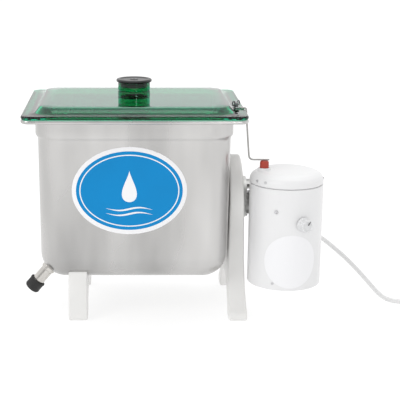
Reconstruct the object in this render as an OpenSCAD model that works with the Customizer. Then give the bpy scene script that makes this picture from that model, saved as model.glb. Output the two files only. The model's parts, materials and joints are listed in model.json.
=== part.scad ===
// Electric butter churn: a steel tank with a clear green lid on two white stands,
// and a geared motor in an upright housing that turns a paddle in the tank.
// Row frame: X along the tank towards the motor, Y to the back, Z up from the floor.

/* [Tank] */
// Outer length of the tank's rolled rim
rim_w = 329; // [326:1:332]
// Outer width of the tank's rolled rim
rim_d = 266; // [262:1:270]
// Height of the rim's top face over the floor
rim_z = 315; // [310:1:320]
// Height of the tank's underside over the floor
tank_z = 65.5; // [64:0.5:68]
// Thickness of the tank's sheet steel
tank_wall = 1.2; // [1:0.1:1.6]
// Radius of the tank's upright and bottom corners
tank_r = 38; // [34:1:40]

/* [Lid] */
// Thickness of the lid's flange
lid_flange = 5; // [4:0.5:6]
// Height of the raised panel over the flange
panel_h = 8; // [6:1:12]
// Outer diameter of the filling tube
fill_d = 49; // [44:1:52]
// Height of the filling cap's top over the floor
total_h = 356.5; // [352:0.5:362]

/* [Drive] */
// Height of the paddle's axis over the floor
axis_z = 171; // [168:1:174]
// Reach of the paddle from its axis
paddle_r = 90; // [70:1:94]
// Teeth on the worm wheel
wheel_teeth = 38; // [38:38:38]
// Tooth module of the worm and its wheel
gear_m = 1.5; // [1.5:0.5:1.5]

/* [Motor housing] */
// Outer diameter of the motor's housing
housing_d = 110.8; // [108:0.4:114]
// Distance from the tank's middle to the housing's axis
housing_x = 231.6; // [230:0.2:234]
// Height of the housing's lower edge over the floor
housing_z = 53; // [50:1:56]
// Bearing of the speed knob from the housing's front
knob_bearing = 19.5; // [10:0.5:25]

/* [Drain] */
// Angle of the drain below the horizontal
drain_angle = 50; // [45:1:55]
// Outer diameter of the drain pipe
drain_d = 18.5; // [16:0.5:20]

/* [Mains lead] */
// Diameter of the mains lead
cord_d = 7; // [6:0.5:7]
// Middle radius of the coil's outer turns
coil_r = 43; // [40:1:46]

/* [Hidden] */
$fn = 64;
gap = 0.3;                      // free space between parts that move apart
eps = 0.05;                     // overshoot of a cut past a face
tank_dx = 1.5;                  // from the middle of the stands' frame to the tank's middle
// Middle of the stands' frame, which puts the middle of the whole length on X 0
tank_x = -(housing_x + housing_d / 2 - rim_w / 2 + tank_dx) / 2;

// Tank
foot_w = 283;                   // tank's length and width just over its bottom corners
foot_d = 217;
neck_w = 286.5;                   // and just under its shoulder
neck_d = 221;
shoulder_w = 293.5;
shoulder_d = 228;
shoulder_r = 41;
shoulder_z = 282;
rim_h = 6.5;
rim_lip = 6;
rim_r = 13;
bend_z = tank_z + tank_r;        // where the walls meet the rounded floor
wall_tilt = atan((neck_d - foot_d) / 2 / (shoulder_z - tank_z - tank_r));
wall_x = tank_dx + foot_w / 2 + (neck_w - foot_w) / 2 * (axis_z - tank_z - tank_r)
    / (shoulder_z - tank_z - tank_r);           // outer face of the tank at the shaft

seal_x = wall_x - 7.8;           // inner face of the shaft seal
seal_head = wall_x - tank_wall - 120.2;

// Stands
stand_y = 104;                  // half the stance of the feet
waist_y = 57;
waist_z = 92;
head_r = 66;
toe_h = 12;
arch_half = 70;
arch_h = 48;
arch_r = (pow(arch_half, 2) + pow(arch_h, 2)) / 2 / arch_h;
flare_r = (pow(stand_y - waist_y, 2) + pow(waist_z - toe_h, 2)) / 2 / (stand_y - waist_y);
head_z = axis_z + head_r;
stand_in = [147, 145.5];        // right stand's inner face, at its top and at the floor
stand_out = [166.5, 173.5];
stand_in_x = stand_in[0] + (stand_in[1] - stand_in[0]) * (head_z - axis_z) / head_z;
stand_out_x = stand_out[0] + (stand_out[1] - stand_out[0]) * (head_z - axis_z) / head_z;
screw_y = 40;
bearer_z = 50;                  // seat of the screws under the left stand

// Lid
lid_w = rim_w - 1;
lid_d = rim_d - 1;
lid_z = rim_z + eps;
lid_top = lid_z + lid_flange;
panel_w = [293, 278];           // raised panel at its foot and at its top
panel_d = [238, 198];
lid_wall = 3;
panel_z = lid_top + panel_h;
fill_wall = 3.5;
fill_top = total_h - 4.4;
bar_r = 1.3;                    // radius of the interlock arm's rod
bar_z = lid_top + bar_r + 0.1;
stud_x = 152;
stud_y = -65;
arm_y = stud_y + 2 + bar_r + 0.1;
button_top = 241.4;
arm_z = button_top + gap + bar_r;

// Drive
worm_r = 13;
worm_lift = 1.3;                // half the depth of the worm's thread
wheel_r = wheel_teeth * gear_m / 2;
worm_y = -(wheel_r + worm_r);
worm_pitch = PI * gear_m;
worm_h = 22;
wheel_b = 10;
case_x = [housing_x - 18.6, housing_x + 18.4];  // gearbox faces
case_r = wheel_r + 5;
case_z = [133, 205];
tunnel_r = 18;
shaft_r = 7.5;
motor_shaft_r = 4;
fit = 0.05;                     // running clearance on a radius
bolt_places = [[26, 26], [26, -26]];
motor_r = 28;
motor_z = [58, 126];

// Motor housing
housing_y = -60;
housing_r = housing_d / 2;
housing_t = 3.2;
bore_r = housing_r - housing_t;
seam_z = 207.8;
cap_z = [208.6, 215, 227.5];    // cap's lower edge, the top of its band and its top face
cap_flat_r = 38;
knob_z = 156;
button_at = [-34.6, -3];        // from the housing's axis
label_z = 98;
label_r = 41;
gland_bearing = 45;
gland_dip = 25;
gland_z = 120;

// Drain, measured from the middle of its collar
drain_at = [-129.9, -72, 75.2];
drain_l = 35;
drain_out = 23.5;
drain_cap_l = 18;

// Mains lead: route from the strain relief to the coil, in the row frame
cord_r = cord_d / 2;
route = [
    [228, -1.6, 107.3], [234.4, 4.8, 103.1], [242, 8.5, 98], [252, 8.5, 90],
    [262, 6.5, 82], [272, 4, 73.5], [282, 1.5, 64.5], [292, -1, 54.5], [302, -4, 44],
    [311, -6, 34], [320, -8, 24], [327, -10, 16.5], [334, -12, 10.5], [341, -14, 6.5],
    [350, -16, 4], [360, -19, 3.5], [375, -24, 3.5], [390, -28, 3.5], [405, -30.5, 3.5],
    [420, -31, 3.5],
];
coil_at = [420, 12];
coil_layers = 3;
coil_h = coil_layers * cord_d;
coil_inner_r = coil_r - cord_d;
tail_turn = -139.6;             // bearing where the last turn leaves the coil
tail = [                        // rest of the lead, from the coil's middle
    [-27.4, -23.3, 17.5], [-22, -28.2, 18.5], [-15, -31.8, 20], [-6, -33.2, 22],
    [3, -31.7, 24], [11, -27.3, 25.8], [17.5, -20.5, 27.2], [21, -12.5, 27.9],
    [22, -5, 28],
];
plug_w = 35.3;
plug_t = 14;
plug_l = 33;
pin_l = 19;
pin_gap = 18.6;

// ---- Shared shapes ----

// Rectangle with round corners, centred
module round_rect(w, d, r) {
    square([w - 2 * r, d], center = true);
    square([w, d - 2 * r], center = true);
    for (sx = [-1, 1], sy = [-1, 1])
        translate([sx * (w / 2 - r), sy * (d / 2 - r)]) circle(r);
}

module round_slab(w, d, r, z0, z1)
    translate([0, 0, z0]) linear_extrude(z1 - z0) round_rect(w, d, r);

// Shape drawn in Y and Z, drawn out along X from x0 to x1
module along_x(x0, x1)
    translate([x0, 0, 0]) rotate([90, 0, 90]) linear_extrude(x1 - x0) children();

// Cylinder along X, on the paddle's axis unless moved
module rod_x(r, x0, x1, y = 0, z = axis_z)
    translate([x0, y, z]) rotate([0, 90, 0]) cylinder(r = r, h = x1 - x0);

module rod_z(r, z0, z1, x = 0, y = 0)
    translate([x, y, z0]) cylinder(r = r, h = z1 - z0);

module ring_x(r_out, r_in, x0, x1)
    difference() {
        rod_x(r_out, x0, x1);
        rod_x(r_in, x0 - 1, x1 + 1);
    }

module ring_z(r_out, r_in, z0, z1)
    difference() {
        rod_z(r_out, z0, z1);
        rod_z(r_in, z0 - 1, z1 + 1);
    }

// Tank's drawn body under the shoulder, smaller by inset all round
module tank_form(inset = 0, rise = 0.1)
    translate([tank_dx, 0, 0]) hull() for (sx = [-1, 1], sy = [-1, 1]) {
        translate([sx * (foot_w / 2 - tank_r), sy * (foot_d / 2 - tank_r), bend_z])
            sphere(tank_r - inset, $fn = 40);
        translate([sx * (neck_w / 2 - tank_r), sy * (neck_d / 2 - tank_r), shoulder_z])
            cylinder(r = tank_r - inset, h = rise, $fn = 40);
    }

module in_tank() translate([tank_x, 0, 0]) children();
module at_tank() in_tank() translate([tank_dx, 0, 0]) children();
module at_drain() in_tank() translate(drain_at) rotate([0, 270 - drain_angle, 0]) children();
module at_housing() translate([tank_x + housing_x, housing_y, 0]) children();
module at_worm() translate([tank_x + housing_x, worm_y, 0]) children();
// Child's +Z points out of the housing's wall at a bearing from its front
module out_of_wall(bearing, z)
    at_housing() translate([0, 0, z]) rotate([0, 0, bearing]) rotate([90, 0, 0]) children();
module at_gland()
    at_housing() rotate([0, 0, gland_bearing]) translate([housing_r, 0, gland_z])
        rotate([0, 90 + gland_dip, 0]) children();

// Solid that the right stand's faces lie on
module right_wedge()
    rotate([90, 0, 0]) translate([0, 0, -150]) linear_extrude(300)
        polygon([[stand_in[0], head_z], [stand_out[0], head_z],
                 [stand_out[1], 0], [stand_in[1], 0]]);

// ---- Tank, drain and stands ----

// Walls of the tank and its shoulder
module tank()
    color([0.74, 0.75, 0.75]) difference() {
        union() {
            in_tank() tank_form();
            at_tank() round_slab(shoulder_w, shoulder_d, shoulder_r, shoulder_z, rim_z);
        }
        in_tank() tank_form(tank_wall, tank_wall + 1);
        at_tank() round_slab(shoulder_w - 2 * tank_wall, shoulder_d - 2 * tank_wall,
                             shoulder_r - tank_wall, shoulder_z + tank_wall, rim_z + 1);
        at_tank() translate([-200, -200, 0]) cube([400, 400, bend_z]);
        in_tank() {
            rod_x(17, 120, 150);
            for (turn = [90, 210, 330]) seal_screw_place(turn) cylinder(r = 2.6, h = 40);
        }
    }

// Floor of the tank with its rounded edges and corners, and the nuts welded under it
module tank_floor()
    color([0.74, 0.75, 0.75]) {
        difference() {
            in_tank() tank_form();
            in_tank() tank_form(tank_wall);
            at_tank() translate([-200, -200, bend_z]) cube([400, 400, 300]);
            at_drain() translate([0, 0, -30]) cylinder(d = drain_d, h = 60);
        }
        in_tank() for (sy = [-1, 1]) translate([-83.4, sy * screw_y, 0])
            ring_z(8, 3, tank_z - 9, tank_z + 0.3);
    }

// Flat flange round the tank's mouth, with a hem folded down at its edge
module tank_rim()
    color([0.74, 0.75, 0.75]) at_tank() difference() {
        union() {
            round_slab(rim_w - 2, rim_d - 2, rim_r, rim_z - 1.4, rim_z);
            difference() {
                round_slab(rim_w, rim_d, rim_r, rim_z - rim_h, rim_z - 0.8);
                round_slab(rim_w - 2 * rim_lip, rim_d - 2 * rim_lip, rim_r - 5,
                           rim_z - rim_h - 1, rim_z - 1.4);
            }
        }
        round_slab(shoulder_w, shoulder_d, shoulder_r, rim_z - rim_h - 1, rim_z + 1);
    }

module drain_pipe()
    color([0.7, 0.68, 0.64]) {
        difference() {
            at_drain() translate([0, 0, -12]) cylinder(d = drain_d, h = 12 + drain_l);
            at_drain() translate([0, 0, -40]) cylinder(d = drain_d - 3, h = 80);
            in_tank() tank_form(tank_wall);
        }
        difference() {
            at_drain() translate([0, 0, -8]) cylinder(d = drain_d + 3.5, h = 9.5);
            at_drain() translate([0, 0, -40]) cylinder(d = drain_d - 0.01, h = 80);
            in_tank() tank_form();
        }
    }

module drain_cap()
    color([0.09, 0.09, 0.09]) at_drain() translate([0, 0, drain_out]) difference() {
        rotate_extrude() union() {
            square([drain_d / 2 + 3, drain_cap_l - 4]);
            square([drain_d / 2 - 1, drain_cap_l]);
            translate([drain_d / 2 - 1, drain_cap_l - 4]) circle(4);
        }
        translate([0, 0, -1]) cylinder(r = drain_d / 2 + 2 * fit, h = drain_cap_l - 4);
    }

// Underside of both stands between the feet
module arch() translate([0, arch_h - arch_r]) circle(arch_r);

module left_stand()
    color([0.92, 0.92, 0.91]) in_tank() difference() {
        intersection() {
            along_x(-110, -60) difference() {
                polygon([[-stand_y, 0], [stand_y, 0], [stand_y - 5.5, 80], [5.5 - stand_y, 80]]);
                arch();
                cradle();
            }
            rotate([90, 0, 0]) translate([0, 0, -150]) linear_extrude(300)
                polygon([[-97.4, 110], [-69.4, 110], [-69, 0], [-98.2, 0]]);
        }
        for (sy = [-1, 1]) {
            rod_z(6.5, 0, bearer_z, -83.4, sy * screw_y);
            rod_z(3.2, 0, tank_z, -83.4, sy * screw_y);
            rod_z(8.2, 56.2, tank_z + 1, -83.4, sy * screw_y);
        }
    }

// Tank's outline across its length, where it lies in the left stand
module cradle() {
    translate([-foot_d / 2 + tank_r, tank_z]) square([foot_d - 2 * tank_r, 60]);
    for (sy = [-1, 1])
        translate([sy * (foot_d / 2 - tank_r), tank_z + tank_r]) circle(tank_r + 0.1);
}

module right_stand()
    color([0.88, 0.88, 0.86]) in_tank() difference() {
        intersection() {
            union() {
                rod_x(head_r, 130, 190);
                along_x(130, 190) polygon([[-62, axis_z + 10], [62, axis_z + 10],
                    [waist_y + 1, waist_z - 20], [-waist_y - 1, waist_z - 20]]);
                along_x(130, 190) polygon([[-stand_y, 0], [stand_y, 0],
                    [stand_y, waist_z - 10], [-stand_y, waist_z - 10]]);
            }
            right_wedge();
        }
        along_x(120, 200) arch();
        for (sy = [-1, 1]) rod_x(flare_r, 120, 200, sy * (waist_y + flare_r), waist_z);
        rod_x(17.2, 120, 180);
        for (turn = [90, 210, 330]) seal_screw_place(turn) cylinder(r = 2.5, h = 40);
        for (turn = [30, 150, 270]) neck_screw_place(turn) cylinder(r = 2.5, h = 30);
    }

module stand_screws()
    color([0.6, 0.6, 0.6]) in_tank() for (sy = [-1, 1]) {
        rod_z(5.5, bearer_z - 5, bearer_z, -83.4, sy * screw_y);
        rod_z(3, bearer_z, tank_z - 1, -83.4, sy * screw_y);
    }

// Thin oval on the front wall, from t0 to t1 in front of it
module front_oval(w, h, t0, t1)
    in_tank() translate([-6, -neck_d / 2 + (shoulder_z - 206) * tan(wall_tilt), 206])
        rotate([90 + wall_tilt, 0, 0]) translate([0, 0, t0]) linear_extrude(t1 - t0)
            polygon([for (a = [0 : 5 : 355]) [w / 2 * cos(a), h / 2 * sin(a)]]);

module front_label() color([0.95, 0.95, 0.94]) front_oval(169.5, 132, 0, 0.35);
module front_emblem() color([0.02, 0.45, 0.75]) front_oval(148, 108, 0.35, 0.6);

// ---- Lid, filling tube and interlock arm ----

module panel_form(inset)
    hull() {
        round_slab(panel_w[0] - 2 * inset, panel_d[0] - 2 * inset, 26 - inset,
                   lid_top - inset, lid_top - inset + 0.1);
        round_slab(panel_w[1] - 2 * inset, panel_d[1] - 2 * inset, 20 - inset,
                   panel_z - inset - 0.1, panel_z - inset);
    }

module lid()
    color([0.05, 0.42, 0.25, 0.8]) at_tank() difference() {
        union() {
            round_slab(lid_w, lid_d, rim_r - 1, lid_z, lid_top);
            panel_form(0);
            round_slab(shoulder_w - 6, shoulder_d - 6, shoulder_r - 3, lid_z - 6, lid_z + eps);
        }
        round_slab(shoulder_w - 12, shoulder_d - 12, shoulder_r - 6, lid_z - 7, lid_z + eps);
        round_slab(panel_w[0] - 2 * lid_wall, panel_d[0] - 2 * lid_wall, 26 - lid_wall,
                   lid_z - 7, lid_top - lid_wall + 0.2);
        panel_form(lid_wall);
        rod_z(fill_d / 2, lid_z - 8, panel_z + 1);
        rod_z(2, lid_top - 3.5, lid_top + 1, stud_x - tank_dx, stud_y);
    }

module fill_tube()
    color([0.05, 0.45, 0.27, 0.8]) at_tank()
        ring_z(fill_d / 2, fill_d / 2 - fill_wall, panel_z - 12, fill_top);

module fill_cap()
    color([0.08, 0.08, 0.08]) at_tank() difference() {
        union() {
            rod_z(fill_d / 2 - fill_wall - 0.4, fill_top - 8, fill_top + 0.2);
            rod_z(27, fill_top + 0.1, total_h);
        }
        translate([0, 0, total_h]) rotate_extrude()
            polygon([[5, 1], [5, 0], [7, -1.2], [20, -1.2], [22, 0], [22, 1]]);
    }

module interlock_arm() {
    path = [[149.4, arm_y, bar_z], [164.2, arm_y, bar_z], [166.9, arm_y, bar_z - 1],
            [168, arm_y, bar_z - 4], [173.8, arm_y, arm_z + 6], [175.8, arm_y, arm_z + 1.6],
            [179.6, arm_y, arm_z], [204, arm_y - 1.4, arm_z]];
    color([0.72, 0.72, 0.7]) in_tank() tube(path, bar_r);
}

module clamp_stud()
    color([0.5, 0.5, 0.5]) in_tank() rod_z(2, lid_top - 3.5, bar_z + 11, stud_x, stud_y);

module clamp_washer()
    color([0.6, 0.6, 0.6]) in_tank() translate([stud_x, stud_y, 0])
        ring_z(5.4, 2, bar_z + bar_r, bar_z + bar_r + 1);

module wing_nut() {
    nut_z = bar_z + bar_r + 1.1;
    color([0.3, 0.3, 0.3]) in_tank() translate([stud_x, stud_y, nut_z]) {
        difference() {
            cylinder(r1 = 3.8, r2 = 3.2, h = 5);
            translate([0, 0, -1]) cylinder(r = 2 + fit, h = 7);
        }
        for (side = [0, 180]) rotate([0, 0, 50 + side]) translate([6.1, 0, 5.2])
            rotate([90, 0, 0]) rotate_extrude() translate([3.2, 0]) circle(0.8, $fn = 16);
    }
}

// ---- Shaft, paddle and seal ----

module seal_screw_place(turn)
    translate([120, 22 * cos(turn), axis_z + 22 * sin(turn)]) rotate([0, 90, 0]) children();

module neck_screw_place(turn)
    translate([150, 28.2 * cos(turn), axis_z + 28.2 * sin(turn)]) rotate([0, 90, 0]) children();

module end_bearing()
    color([0.85, 0.85, 0.82]) in_tank() intersection() {
        difference() {
            rod_x(13, -145, -124);
            rod_x(6 + fit, -134, -120);
        }
        tank_form(tank_wall);
    }

module seal_housing()
    color([0.75, 0.75, 0.73]) in_tank() difference() {
        union() {
            difference() {
                rod_x(30, seal_x - 1.5, 154);
                tank_form();
                right_wedge();
                rod_x(31, stand_in_x + 1.5, 162);
            }
            rod_x(17, seal_x - 1.5, 158);
        }
        rod_x(14, seal_x, seal_x + 9.5);
        rod_x(shaft_r + 1, seal_x - 3, 165);
        for (turn = [90, 210, 330]) seal_screw_place(turn) cylinder(r = 2.6, h = 40);
    }

module shaft_seal()
    color([0.1, 0.1, 0.1]) in_tank() ring_x(14, shaft_r + fit, seal_x, seal_x + 8.5);

module seal_screws()
    color([0.65, 0.65, 0.65]) in_tank() for (turn = [90, 210, 330]) {
        difference() {
            seal_screw_place(turn) cylinder(r = 4.5, h = seal_head);
            seal_screw_place(turn) translate([0, 0, -1]) cylinder(r = 6, h = seal_head - 2.6);
        }
        seal_screw_place(turn) translate([0, 0, seal_head - 3]) cylinder(r = 2.5, h = 20);
    }

module paddle_blade()
    color([0.8, 0.8, 0.8]) in_tank() difference() {
        rotate([90, 0, 0]) translate([0, 0, -1.25]) linear_extrude(2.5) difference() {
            translate([-3, axis_z]) round_rect(214, 2 * paddle_r, 26);
            for (sz = [-1, 1], i = [-3 : 3])
                translate([-3 + 27 * i, axis_z + sz * 36]) circle(9);
            for (sz = [-1, 1], i = [-2 : 3])
                translate([-16.5 + 27 * i, axis_z + sz * 64]) circle(9);
        }
        rod_x(8, -120, 120);
    }

module paddle_shaft()
    color([0.78, 0.78, 0.78]) in_tank() {
        difference() {
            rod_x(8, -122, 106);
            rod_x(6.6, -118, 100);
        }
        rod_x(6, -133.5, -122);
        difference() {
            rod_x(12, 104, 128);
            rod_x(shaft_r, 106, 129);
            rod_z(3, axis_z - 20, axis_z + 20, 117, 0);
        }
    }

module drive_shaft()
    color([0.6, 0.6, 0.62]) in_tank() difference() {
        rod_x(shaft_r, 106.5, case_x[1] - 2.6);
        rod_z(3, axis_z - 20, axis_z + 20, 117, 0);
    }

module cross_pin()
    color([0.7, 0.7, 0.7]) in_tank() rod_z(3, axis_z - 14, axis_z + 14, 117, 0);

// ---- Worm gearbox ----

module drive_neck()
    color([0.5, 0.51, 0.52]) in_tank() difference() {
        union() {
            difference() {
                rod_x(32, 160, 176);
                right_wedge();
            }
            rod_x(24, 170, case_x[0]);
            for (turn = [30 : 60 : 330]) translate([0, 0, axis_z]) rotate([turn, 0, 0])
                translate([175, -2, 20]) cube([11, 4, 8]);
        }
        rod_x(17, 150, case_x[0] - 4);
        rod_x(shaft_r + 1, 150, case_x[0] + 1);
        for (turn = [30, 150, 270]) neck_screw_place(turn) cylinder(r = 2.6, h = 30);
    }

module neck_screws()
    color([0.4, 0.4, 0.4]) in_tank() for (turn = [30, 150, 270]) neck_screw_place(turn) {
        translate([0, 0, 2]) cylinder(r = 2.5, h = 24);
        translate([0, 0, 26]) cylinder(r = 4, h = 4, $fn = 6);
    }

module case_form() {
    rod_x(case_r, case_x[0], case_x[1]);
    rod_z(tunnel_r, case_z[0], case_z[1], housing_x, worm_y);
    for (p = bolt_places) rod_x(6, case_x[0], case_x[1], p[0], axis_z + p[1]);
}

module case_bore() {
    rod_x(wheel_r + 2.5, housing_x - 8, housing_x + 8);
    rod_z(15.5, 140, 190, housing_x, worm_y);
    rod_z(11, 180, 198, housing_x, worm_y);
    rod_z(motor_shaft_r + 1, 120, 150, housing_x, worm_y);
    rod_x(16, case_x[0] + 1.5, case_x[1] - 2);
    rod_x(shaft_r + 1, case_x[0] - 1, housing_x);
    for (p = bolt_places) rod_x(2.5, case_x[0] - 1, case_x[1] + 1, p[0], axis_z + p[1]);
}

module case_half(x0, x1)
    in_tank() difference() {
        intersection() {
            case_form();
            translate([x0, -100, 100]) cube([x1 - x0, 200, 140]);
        }
        case_bore();
    }

module gearbox_inner() color([0.55, 0.56, 0.57]) case_half(case_x[0], housing_x);
module gearbox_outer() color([0.6, 0.61, 0.62]) case_half(housing_x, case_x[1]);

module gearbox_bolts()
    color([0.35, 0.35, 0.35]) in_tank() for (p = bolt_places) {
        rod_x(2.5, case_x[0] + 2, case_x[1], p[0], axis_z + p[1]);
        rod_x(4.5, case_x[1], case_x[1] + 4, p[0], axis_z + p[1]);
    }

module shaft_bearings()
    color([0.7, 0.71, 0.73]) in_tank() {
        ring_x(16, shaft_r + fit, case_x[0] + 1.5, case_x[0] + 10.5);
        ring_x(16, shaft_r + fit, case_x[1] - 10.4, case_x[1] - 2);
    }

// Half the tooth's thickness at heights over the pitch circle, kept thin for backlash
tooth = [[-1.8, 1.35], [-1.2, 1.0], [0, 0.45], [0.9, 0.12]];

module worm_wheel()
    color([0.75, 0.6, 0.3]) in_tank() difference() {
        union() {
            along_x(housing_x - wheel_b / 2, housing_x + wheel_b / 2) translate([0, axis_z])
                polygon([for (k = [0 : wheel_teeth - 1], side = [-1, 1], j = [0 : len(tooth) - 1])
                    let (t = tooth[side < 0 ? j : len(tooth) - 1 - j], r = wheel_r + t[0],
                         a = 360 * k / wheel_teeth + side * t[1] / r * 180 / PI)
                    [r * cos(a), r * sin(a)]]);
            rod_x(12, housing_x - 7.5, housing_x + 7.5);
        }
        rod_x(shaft_r, housing_x - 10, housing_x + 10);
    }

module worm_shaft()
    color([0.6, 0.6, 0.6]) at_worm() {
        rod_z(motor_shaft_r, motor_z[0] + 3.5, 197);
        translate([0, 0, axis_z - worm_h / 2]) rotate(270 - 180 * worm_h / worm_pitch)
            linear_extrude(worm_h, twist = -360 * worm_h / worm_pitch, slices = 60)
                translate([worm_lift, 0]) circle(worm_r, $fn = 22);
    }

module rotor_core()
    color([0.45, 0.42, 0.4]) at_worm() ring_z(18.4, motor_shaft_r, 72, 118);

module worm_bearings()
    color([0.7, 0.71, 0.73]) at_worm() for (z = [61.5, 126, 190])
        ring_z(11, motor_shaft_r + fit, z, z + 7);

// ---- Motor ----

module motor_can()
    color([0.3, 0.31, 0.33]) at_worm() difference() {
        rod_z(motor_r, motor_z[0], motor_z[1]);
        rod_z(motor_r - 2, 69, 140);
        rod_z(11, 61.5, 140);
    }

module stator()
    color([0.65, 0.35, 0.2]) at_worm() ring_z(motor_r - 2, 19, 71, 120);

module motor_flange()
    color([0.5, 0.5, 0.52]) at_worm() difference() {
        rod_z(motor_r, motor_z[1], case_z[0]);
        rod_z(11, 120, 140);
    }

// ---- Housing ----

// Way through the housing's back wall for the gearbox and its neck
module case_way() {
    in_tank() {
        rod_x(25.5, 170, case_x[0] + 1);
        rod_x(case_r + 1.5, case_x[0] - 1.5, case_x[1] + 1.5);
    }
}

module motor_housing()
    color([0.95, 0.95, 0.95]) difference() {
        at_housing() ring_z(housing_r, bore_r, housing_z, seam_z);
        case_way();
        at_gland() translate([0, 0, -15]) cylinder(r = 6, h = 30);
        out_of_wall(knob_bearing, knob_z) translate([0, 0, 40]) cylinder(r = 3.6, h = 30);
        housing_screw_place() translate([0, 0, -20]) cylinder(r = 1.5, h = 30);
        for (bearing = base_screw_bearings) base_screw_place(bearing) cylinder(r = 1.5, h = 20);
    }

base_screw_bearings = [-25, 95, 215];

module base_screw_place(bearing)
    out_of_wall(bearing, housing_z + 10.5) translate([0, 0, bore_r - 8]) children();

module housing_base()
    color([0.9, 0.9, 0.9]) difference() {
        at_housing() rod_z(bore_r - 0.1, housing_z + 1, housing_z + 15);
        at_housing() rod_z(bore_r - 4, housing_z + 4, housing_z + 16);
        for (bearing = base_screw_bearings) base_screw_place(bearing) cylinder(r = 1.5, h = 20);
    }

module base_screws()
    color([0.7, 0.7, 0.7]) for (bearing = base_screw_bearings) base_screw_place(bearing) {
        translate([0, 0, 4]) cylinder(r = 1.5, h = 4.5 + housing_t);
        translate([0, 0, 8.05 + housing_t]) cylinder(r1 = 2.2, r2 = 1.5, h = 0.9);
    }

module housing_cap()
    color([0.96, 0.96, 0.96]) difference() {
        union() {
            difference() {
                at_housing() rotate_extrude() cap_profile();
                case_way();
            }
            at_housing() rod_z(9.4, cap_z[2] - 6, 231, button_at[0], button_at[1]);
        }
        at_housing() {
            rod_z(7.1, cap_z[2] - 1.5, 240, button_at[0], button_at[1]);
            rod_z(2.8, cap_z[2] - 10, 240, button_at[0], button_at[1]);
            translate([button_at[0] - 8, button_at[1] - 8, cap_z[2] - 14])
                cube([16, 16, 14 - housing_t - 0.5]);
        }
        for (bearing = cap_screw_bearings) out_of_wall(bearing, cap_z[0] + 7.4)
            translate([0, 0, housing_r - 9]) cylinder(r = 1.5, h = 12);
    }

// Half section of the cap, with a spigot that sits in the housing
module cap_profile() {
    spigot_r = bore_r - 0.1;
    polygon([[0, cap_z[2]], [cap_flat_r, cap_z[2]], [46, cap_z[2] - 2.2],
             [52, cap_z[2] - 5.6], [housing_r, cap_z[1]], [housing_r, cap_z[0]],
             [spigot_r, cap_z[0]], [spigot_r, seam_z - 8], [spigot_r - housing_t, seam_z - 8],
             [spigot_r - housing_t, cap_z[1] - 1], [44, cap_z[2] - 5], [36, cap_z[2] - housing_t],
             [0, cap_z[2] - housing_t]]);
}

cap_screw_bearings = [-59, -42, 80, 170];

module cap_screws()
    color([0.7, 0.7, 0.7]) for (bearing = cap_screw_bearings)
        out_of_wall(bearing, cap_z[0] + 7.4) {
            translate([0, 0, housing_r - 6]) cylinder(r = 1.5, h = 6.05);
            translate([0, 0, housing_r + 0.02]) cylinder(r = 2.2, h = 0.9);
        }

module motor_label()
    color([1, 1, 1]) intersection() {
        at_housing() ring_z(housing_r + 0.4, housing_r, housing_z, seam_z);
        out_of_wall(3, label_z) linear_extrude(70)
            polygon([for (a = [0 : 6 : 354])
                [housing_r * sin(label_r * cos(a) / housing_r * 180 / PI), label_r * sin(a)]]);
    }

module housing_screw_place()
    at_housing() translate([-21, -sqrt(pow(housing_r, 2) - 21 * 21), 174]) rotate([90, 0, 0])
        children();

module housing_screw()
    color([0.8, 0.8, 0.8]) housing_screw_place() {
        translate([0, 0, -10]) cylinder(r = 1.5, h = 9.5);
        translate([0, 0, 1.1]) cylinder(r = 2.6, h = 1.4);
        translate([0, 0, -0.6]) cylinder(r = 1.5, h = 1.8);
    }

// ---- Speed control and safety switch ----

module board_carrier()
    color([0.2, 0.2, 0.2]) difference() {
        intersection() {
            union() {
                out_of_wall(knob_bearing, knob_z) translate([-34, -26, 31]) cube([58, 52, 3]);
                at_housing() translate([-27, -50, 168]) cube([12, 24, 12]);
            }
            at_housing() rod_z(bore_r, 100, 200);
        }
        housing_screw_place() translate([0, 0, -20]) cylinder(r = 1.5, h = 30);
        out_of_wall(knob_bearing, knob_z) translate([-20, -30, 34]) cube([60, 60, 10]);
    }

module control_board()
    color([0.1, 0.35, 0.2]) out_of_wall(knob_bearing, knob_z)
        translate([-20, -30, 34]) cube([48, 60, 1.6]);

module board_parts()
    color([0.15, 0.15, 0.2]) out_of_wall(knob_bearing, knob_z) {
        for (x = [-10, 6]) translate([x, -20, 35.6]) cylinder(r = 5, h = 11);
        translate([-16, 16, 35.6]) cube([30, 9, 9]);
    }

module potentiometer()
    color([0.5, 0.5, 0.55]) out_of_wall(knob_bearing, knob_z) difference() {
        union() {
            translate([-8.5, -8.5, 36]) cube([17, 17, 9]);
            translate([0, 0, 45]) cylinder(r = 3.5, h = 13);
        }
        translate([0, 0, 38]) cylinder(r = 3 + fit, h = 30);
    }

module pot_nut()
    color([0.7, 0.7, 0.7]) out_of_wall(knob_bearing, knob_z) difference() {
        translate([0, 0, housing_r + 0.1]) cylinder(r = 6.2, h = 2, $fn = 6);
        translate([0, 0, 50]) cylinder(r = 3.5, h = 20);
    }

module speed_knob()
    color([0.82, 0.82, 0.82]) out_of_wall(knob_bearing, knob_z) {
        difference() {
            translate([0, 0, housing_r + 1.6]) cylinder(r = 10.5, h = 15);
            translate([0, 0, housing_r - 1]) cylinder(r = 8, h = 6);
            translate([-1, 2, housing_r + 16]) cube([2, 10, 2]);
        }
        translate([0, 0, 40]) cylinder(r = 3, h = 24);
    }

module safety_switch()
    color([0.2, 0.2, 0.22]) at_housing() translate([button_at[0], button_at[1], 0])
        difference() {
            translate([-7, -7, 206]) cube([14, 14, cap_z[2] - housing_t - 0.6 - 206]);
            rod_z(2.8, 210, 240);
        }

module safety_button()
    color([0.78, 0.2, 0.15]) at_housing() translate([button_at[0], button_at[1], 0]) {
        rod_z(6.7, 229.6, button_top - 2);
        translate([0, 0, button_top - 2]) cylinder(r1 = 6.7, r2 = 5.4, h = 2);
        rod_z(2.4, 215, 231);
    }

// ---- Mains lead ----

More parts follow.
